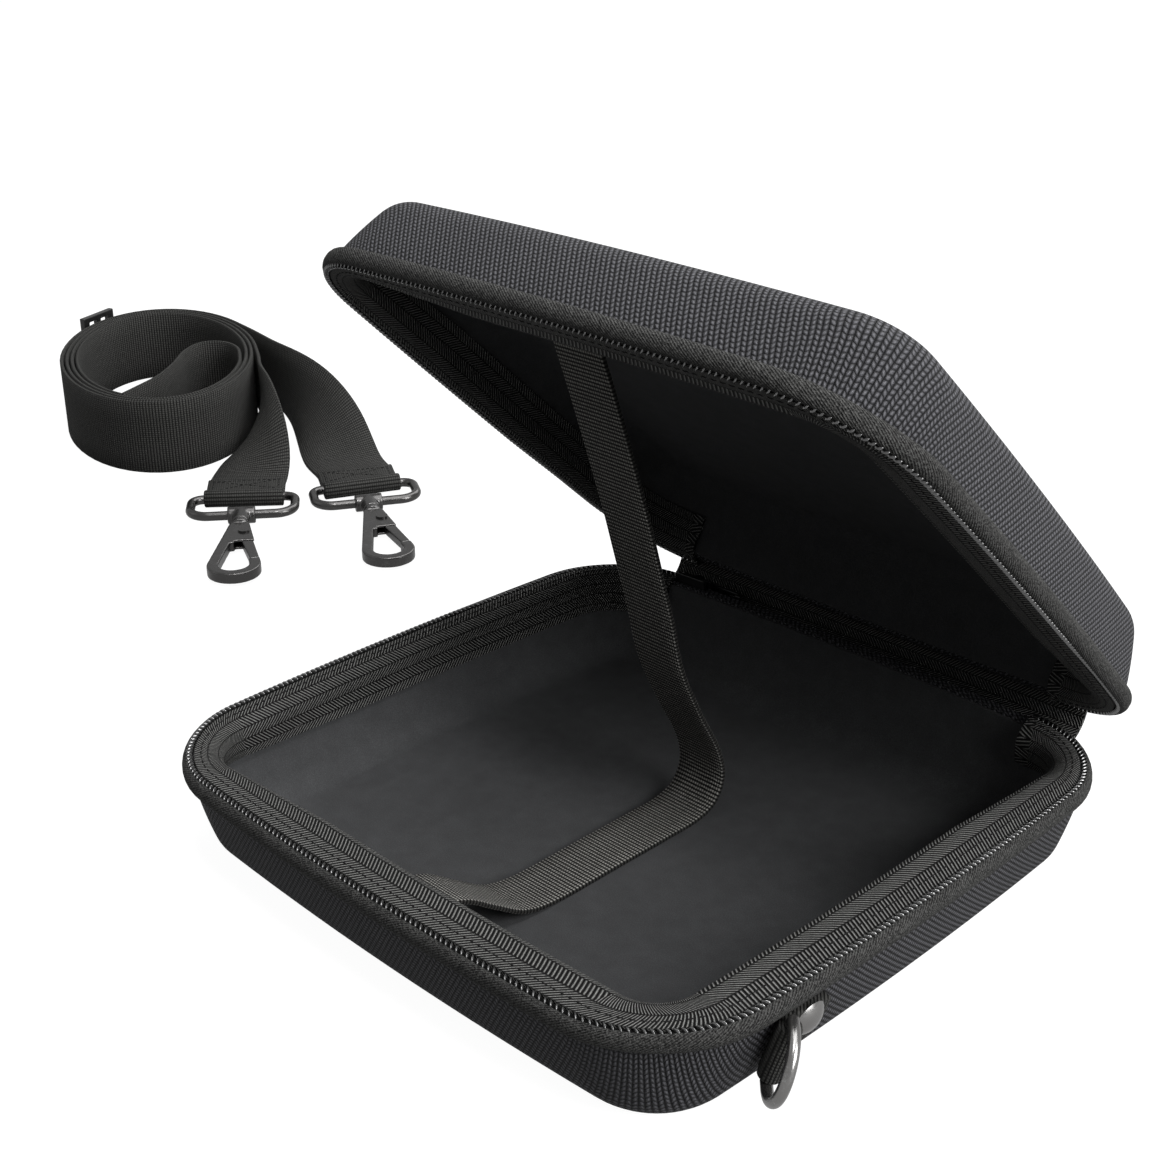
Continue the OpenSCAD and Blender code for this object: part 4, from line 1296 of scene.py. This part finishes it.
    @staticmethod
    def steady(across: Sequence[Vector]) -> list[Vector]:
        """Keeps neighbouring directions from turning over."""
        made = [across[0]]
        for a in across[1:]:
            made.append(a if a.dot(made[-1]) >= 0 else -a)
        return made


@dataclass(frozen=True)
class Softener:
    """Copies hard solids with their sharp edges rounded, as castings and mouldings have."""

    finish: Finishes
    grain: float
    rounds: int

    def copy(self, node: bpy.types.Object, body: str) -> None:
        """Makes the rounded copy of a node and lets it stand for the node.

        Args:
            node: The solid.
            body: The body that carries it.
        """
        rough = bpy.data.meshes.new(node.name + "_rough")
        work = bmesh.new()
        work.from_mesh(node.data)
        work.transform(node.matrix_world)
        bmesh.ops.remove_doubles(work, verts=work.verts, dist=0.003 * MM)
        work.to_mesh(rough)
        work.free()
        guide = bpy.data.objects.new(rough.name, rough)
        bpy.context.scene.collection.objects.link(guide)
        grained = guide.modifiers.new("grained", "REMESH")
        grained.mode = "VOXEL"
        grained.voxel_size = self.grain * MM
        rounded = guide.modifiers.new("rounded", "SMOOTH")
        rounded.factor = 0.5
        rounded.iterations = self.rounds
        graph = bpy.context.evaluated_depsgraph_get()
        mesh = bpy.data.meshes.new_from_object(guide.evaluated_get(graph))
        bpy.data.objects.remove(guide)
        mesh.name = node.name + "_cast"
        mesh.shade_smooth()
        made = bpy.data.objects.new(mesh.name, mesh)
        bpy.context.scene.collection.objects.link(made)
        settle(dress(made, self.finish), self.finish, body, node.name)


@dataclass(frozen=True)
class RingTab:
    """Webbing of a ring tab: a copy of the solid with threads along it."""

    hand: int
    yaw: float = 2.0
    slope: float = 14.765
    lean: float = 8.0

    def build(self, node: bpy.types.Object) -> None:
        """Makes the tab with softened edges and cloth coordinates."""
        turn = (
            Matrix.Scale(self.hand, 4, (1.0, 0.0, 0.0))
            @ Matrix.Rotation(math.radians(-self.yaw), 4, "Z")
            @ Matrix.Rotation(math.radians(self.slope), 4, "Y")
            @ Matrix.Rotation(math.radians(-self.lean), 4, "X")
        ).inverted()
        work = bmesh.new()
        work.from_mesh(node.data)
        work.transform(node.matrix_world)
        bmesh.ops.remove_doubles(work, verts=work.verts, dist=0.003 * MM)
        bmesh.ops.dissolve_limit(work, angle_limit=math.radians(1.0), verts=work.verts, edges=work.edges)
        edges = [e for e in work.edges if len(e.link_faces) == 2 and e.calc_face_angle(0.0) > math.radians(50)]
        bmesh.ops.bevel(work, geom=edges, offset=0.35 * MM, segments=2, profile=0.5, affect="EDGES", clamp_overlap=True)
        layer = work.loops.layers.uv.new(Skin.uv_name)
        for face in work.faces:
            for loop in face.loops:
                local = turn @ loop.vert.co
                loop[layer].uv = (local.y + local.x, local.z)
        mesh = bpy.data.meshes.new(node.name + "_webbing")
        work.to_mesh(mesh)
        work.free()
        mesh.shade_smooth()
        mesh.set_sharp_from_angle(angle=math.radians(40.0))
        made = bpy.data.objects.new(mesh.name, mesh)
        bpy.context.scene.collection.objects.link(made)
        settle(dress(made, Finishes.WEBBING), Finishes.WEBBING, "base", node.name)


# Camera, ground and light


@dataclass(frozen=True)
class Viewpoint:
    """The photograph's viewpoint, about the middle of the zip line."""

    azimuth: float = 45.195
    elevation: float = 24.958
    roll: float = -0.316
    distance: float = 604.59
    aside: float = -14.32
    above: float = 52.37
    focal_px: float = 1837.8
    pivot_z: float = 38.0

    def build(self) -> None:
        """Makes the camera."""
        az, el, roll = (math.radians(v) for v in (self.azimuth, self.elevation, self.roll))
        forward = Vector((-math.sin(az) * math.cos(el), math.cos(az) * math.cos(el), -math.sin(el)))
        right = Vector((math.cos(az), math.sin(az), 0.0))
        up = right.cross(forward)
        spot = -forward * self.distance + right * self.aside + up * self.above
        spot.z += self.pivot_z
        turned_right = math.cos(roll) * right + math.sin(roll) * up
        turned_up = -math.sin(roll) * right + math.cos(roll) * up
        data = bpy.data.cameras.new("camera")
        data.sensor_width = 36.0
        data.lens = self.focal_px / IMAGE_PX * data.sensor_width
        data.clip_start = 0.01
        camera = bpy.data.objects.new("camera", data)
        bpy.context.scene.collection.objects.link(camera)
        axes = Matrix((turned_right, turned_up, -forward)).transposed().to_4x4()
        camera.matrix_world = Matrix.Translation(spot * MM) @ axes
        bpy.context.scene.camera = camera


@dataclass(frozen=True)
class Lamp:
    """A soft rectangular light aimed at the case."""

    name: str
    spot: tuple[float, float, float]
    size: float
    power: float

    def build(self, target: Vector) -> None:
        """Makes the light."""
        data = bpy.data.lights.new(self.name, "AREA")
        data.shape = "SQUARE"
        data.size = self.size
        data.energy = self.power
        lamp = bpy.data.objects.new(self.name, data)
        bpy.context.scene.collection.objects.link(lamp)
        lamp.location = self.spot
        lamp.rotation_euler = (target - Vector(self.spot)).to_track_quat("-Z", "Y").to_euler()


@dataclass(frozen=True)
class Studio:
    """Ground, world and lights."""

    lamps: tuple[Lamp, ...] = (
        Lamp("top_light", (0.1, 0.45, 1.65), 1.6, 23.5),
        Lamp("right_light", (1.6, 0.2, 0.9), 1.2, 41.0),
        Lamp("left_light", (-1.3, -0.9, 1.0), 1.0, 1.0),
        Lamp("back_light", (-0.5, 1.5, 1.1), 1.0, 8.0),
        Lamp("key_light", (0.5, -0.4, 1.5), 0.25, 8.0),
    )
    world: float = 0.13
    whites = (("Camera", 1.0), ("Glossy", 0.35), ("Transmission", 1.0))

    def white_shader(self) -> bpy.types.Material:
        """Returns the ground's material: white to the camera, with the case's shadow on it."""
        shader = Shader("ground")
        shader.feed(shader.surface, {"Base Color": (0.12, 0.12, 0.12, 1.0), "Roughness": 0.9})
        path = shader.node("ShaderNodeLightPath").outputs
        rays = [Value(shader, path[f"Is {kind} Ray"]) * share for kind, share in self.whites]
        seen = (rays[0] + rays[1] + rays[2]).math("MINIMUM", 1.0)
        glow = shader.node("ShaderNodeEmission", None, {0: (1.0, 1.0, 1.0, 1.0), 1: 0.96})
        both = shader.node("ShaderNodeAddShader", None, {0: shader.surface.outputs[0], 1: glow.outputs[0]})
        values = {0: seen, 1: shader.surface.outputs[0], 2: both.outputs[0]}
        mixed = shader.node("ShaderNodeMixShader", None, values)
        shader.link(mixed.outputs[0], shader.output.inputs["Surface"])
        return shader.material

    def build(self) -> None:
        """Makes the ground, the world and the lights."""
        side = 6.0
        mesh = bpy.data.meshes.new("ground")
        corners = [(-side, -side, -0.0002), (side, -side, -0.0002), (side, side, -0.0002), (-side, side, -0.0002)]
        mesh.from_pydata(corners, [], [(0, 1, 2, 3)])
        mesh.materials.append(self.white_shader())
        ground = bpy.data.objects.new("ground", mesh)
        bpy.context.scene.collection.objects.link(ground)
        world = bpy.data.worlds.new("studio")
        world.use_nodes = True
        tree = world.node_tree
        tree.nodes.clear()
        output = tree.nodes.new("ShaderNodeOutputWorld")
        path = tree.nodes.new("ShaderNodeLightPath")
        dim = tree.nodes.new("ShaderNodeBackground")
        dim.inputs[0].default_value = (1.0, 1.0, 1.0, 1.0)
        dim.inputs[1].default_value = self.world
        white = tree.nodes.new("ShaderNodeBackground")
        white.inputs[0].default_value = (1.0, 1.0, 1.0, 1.0)
        mix = tree.nodes.new("ShaderNodeMixShader")
        seen = None
        for kind, share in self.whites:
            total = tree.nodes.new("ShaderNodeMath")
            total.operation = "MULTIPLY_ADD"
            total.use_clamp = True
            tree.links.new(path.outputs[f"Is {kind} Ray"], total.inputs[0])
            total.inputs[1].default_value = share
            total.inputs[2].default_value = 0.0
            if seen:
                tree.links.new(seen, total.inputs[2])
            seen = total.outputs[0]
        tree.links.new(seen, mix.inputs[0])
        tree.links.new(dim.outputs[0], mix.inputs[1])
        tree.links.new(white.outputs[0], mix.inputs[2])
        tree.links.new(mix.outputs[0], output.inputs[0])
        bpy.context.scene.world = world
        for lamp in self.lamps:
            lamp.build(Vector((-0.05, 0.05, 0.06)))


def lid_matrix(frame: dict[str, Any], form: CaseForm) -> Matrix:
    """Returns the matrix that turns a half drawn as a base into the lid as it stands open."""
    joint = next(j for j in frame["joints"] if j["name"] == "lid_hinge")
    spot = Vector(joint["pos_m"])
    angle = math.radians(joint["range_deg"][0])
    flip = Matrix.Translation((0.0, 0.0, 2 * form.rim_z * MM)) @ Matrix.Scale(-1.0, 4, (0.0, 0.0, 1.0))
    turn = Matrix.Rotation(angle, 4, "X")
    return Matrix.Translation(spot) @ turn @ Matrix.Translation(-spot) @ flip


def dress_nodes(frame: dict[str, Any]) -> None:
    """Gives the hard solids their finishes and rounds the edges of castings."""
    kept = {
        Finishes.DARK_METAL: ("d_ring_right", "d_ring_left", "tab_rivet_right", "tab_rivet_left"),
        Finishes.HOOK_METAL: ("strap_ring_1", "strap_ring_2", "hook_pin_1", "hook_pin_2"),
        Finishes.BRIGHT_METAL: ("rivet_washer_right", "rivet_washer_left"),
    }
    for finish, names in kept.items():
        for name in names:
            dress(frame["nodes"][name], finish)
    casting = Softener(Finishes.HOOK_METAL, 0.4, 9)
    for n in (1, 2):
        casting.copy(frame["nodes"][f"hook_body_{n}"], f"hook_{n}")
        casting.copy(frame["nodes"][f"hook_gate_{n}"], f"gate_{n}")
        casting.copy(frame["nodes"][f"hook_swivel_{n}"], f"swivel_{n}")
    enamel = Softener(Finishes.ENAMEL, 0.15, 5)
    enamel.copy(frame["nodes"]["zip_slider"], "slider")
    enamel.copy(frame["nodes"]["zip_pull"], "pull")
    enamel.copy(frame["nodes"]["base_zip_stops"], "base")
    enamel.copy(frame["nodes"]["lid_zip_stops"], "lid")
    Softener(Finishes.PLASTIC, 0.3, 6).copy(frame["nodes"]["strap_adjuster"], "strap")
    RingTab(1).build(frame["nodes"]["ring_tab_right"])
    RingTab(-1).build(frame["nodes"]["ring_tab_left"])


def main() -> None:
    """Builds the camera, the case, the strap and the studio."""
    logging.basicConfig(level=logging.INFO, format="%(name)s %(message)s")
    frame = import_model()
    bpy.context.scene.view_settings.view_transform = "Standard"
    Viewpoint().build()
    form = CaseForm.from_frame()
    LOG.info("half width %.2f, half depth %.2f, rim %.2f", form.half_w, form.half_d, form.rim_z)
    beads = BeadRow()
    lid = lid_matrix(frame, form)
    lid_depth = 34.0
    CaseHalf(form, "base", form.rim_z, Matrix.Identity(4), beads, 0.0).build()
    CaseHalf(form, "lid", lid_depth, lid, beads, 0.5).build()
    hinge = Hinge(form, lid_depth, lid)
    hinge.spine()
    hinge.stay()
    rings = [RingPlace(1, -334.0, 78.0, -38.3), RingPlace(2, -304.0, 129.0, -30.4)]
    ShoulderStrap().build(rings, beads)
    dress_nodes(frame)
    Studio().build()


if __name__ == "__main__":
    main()
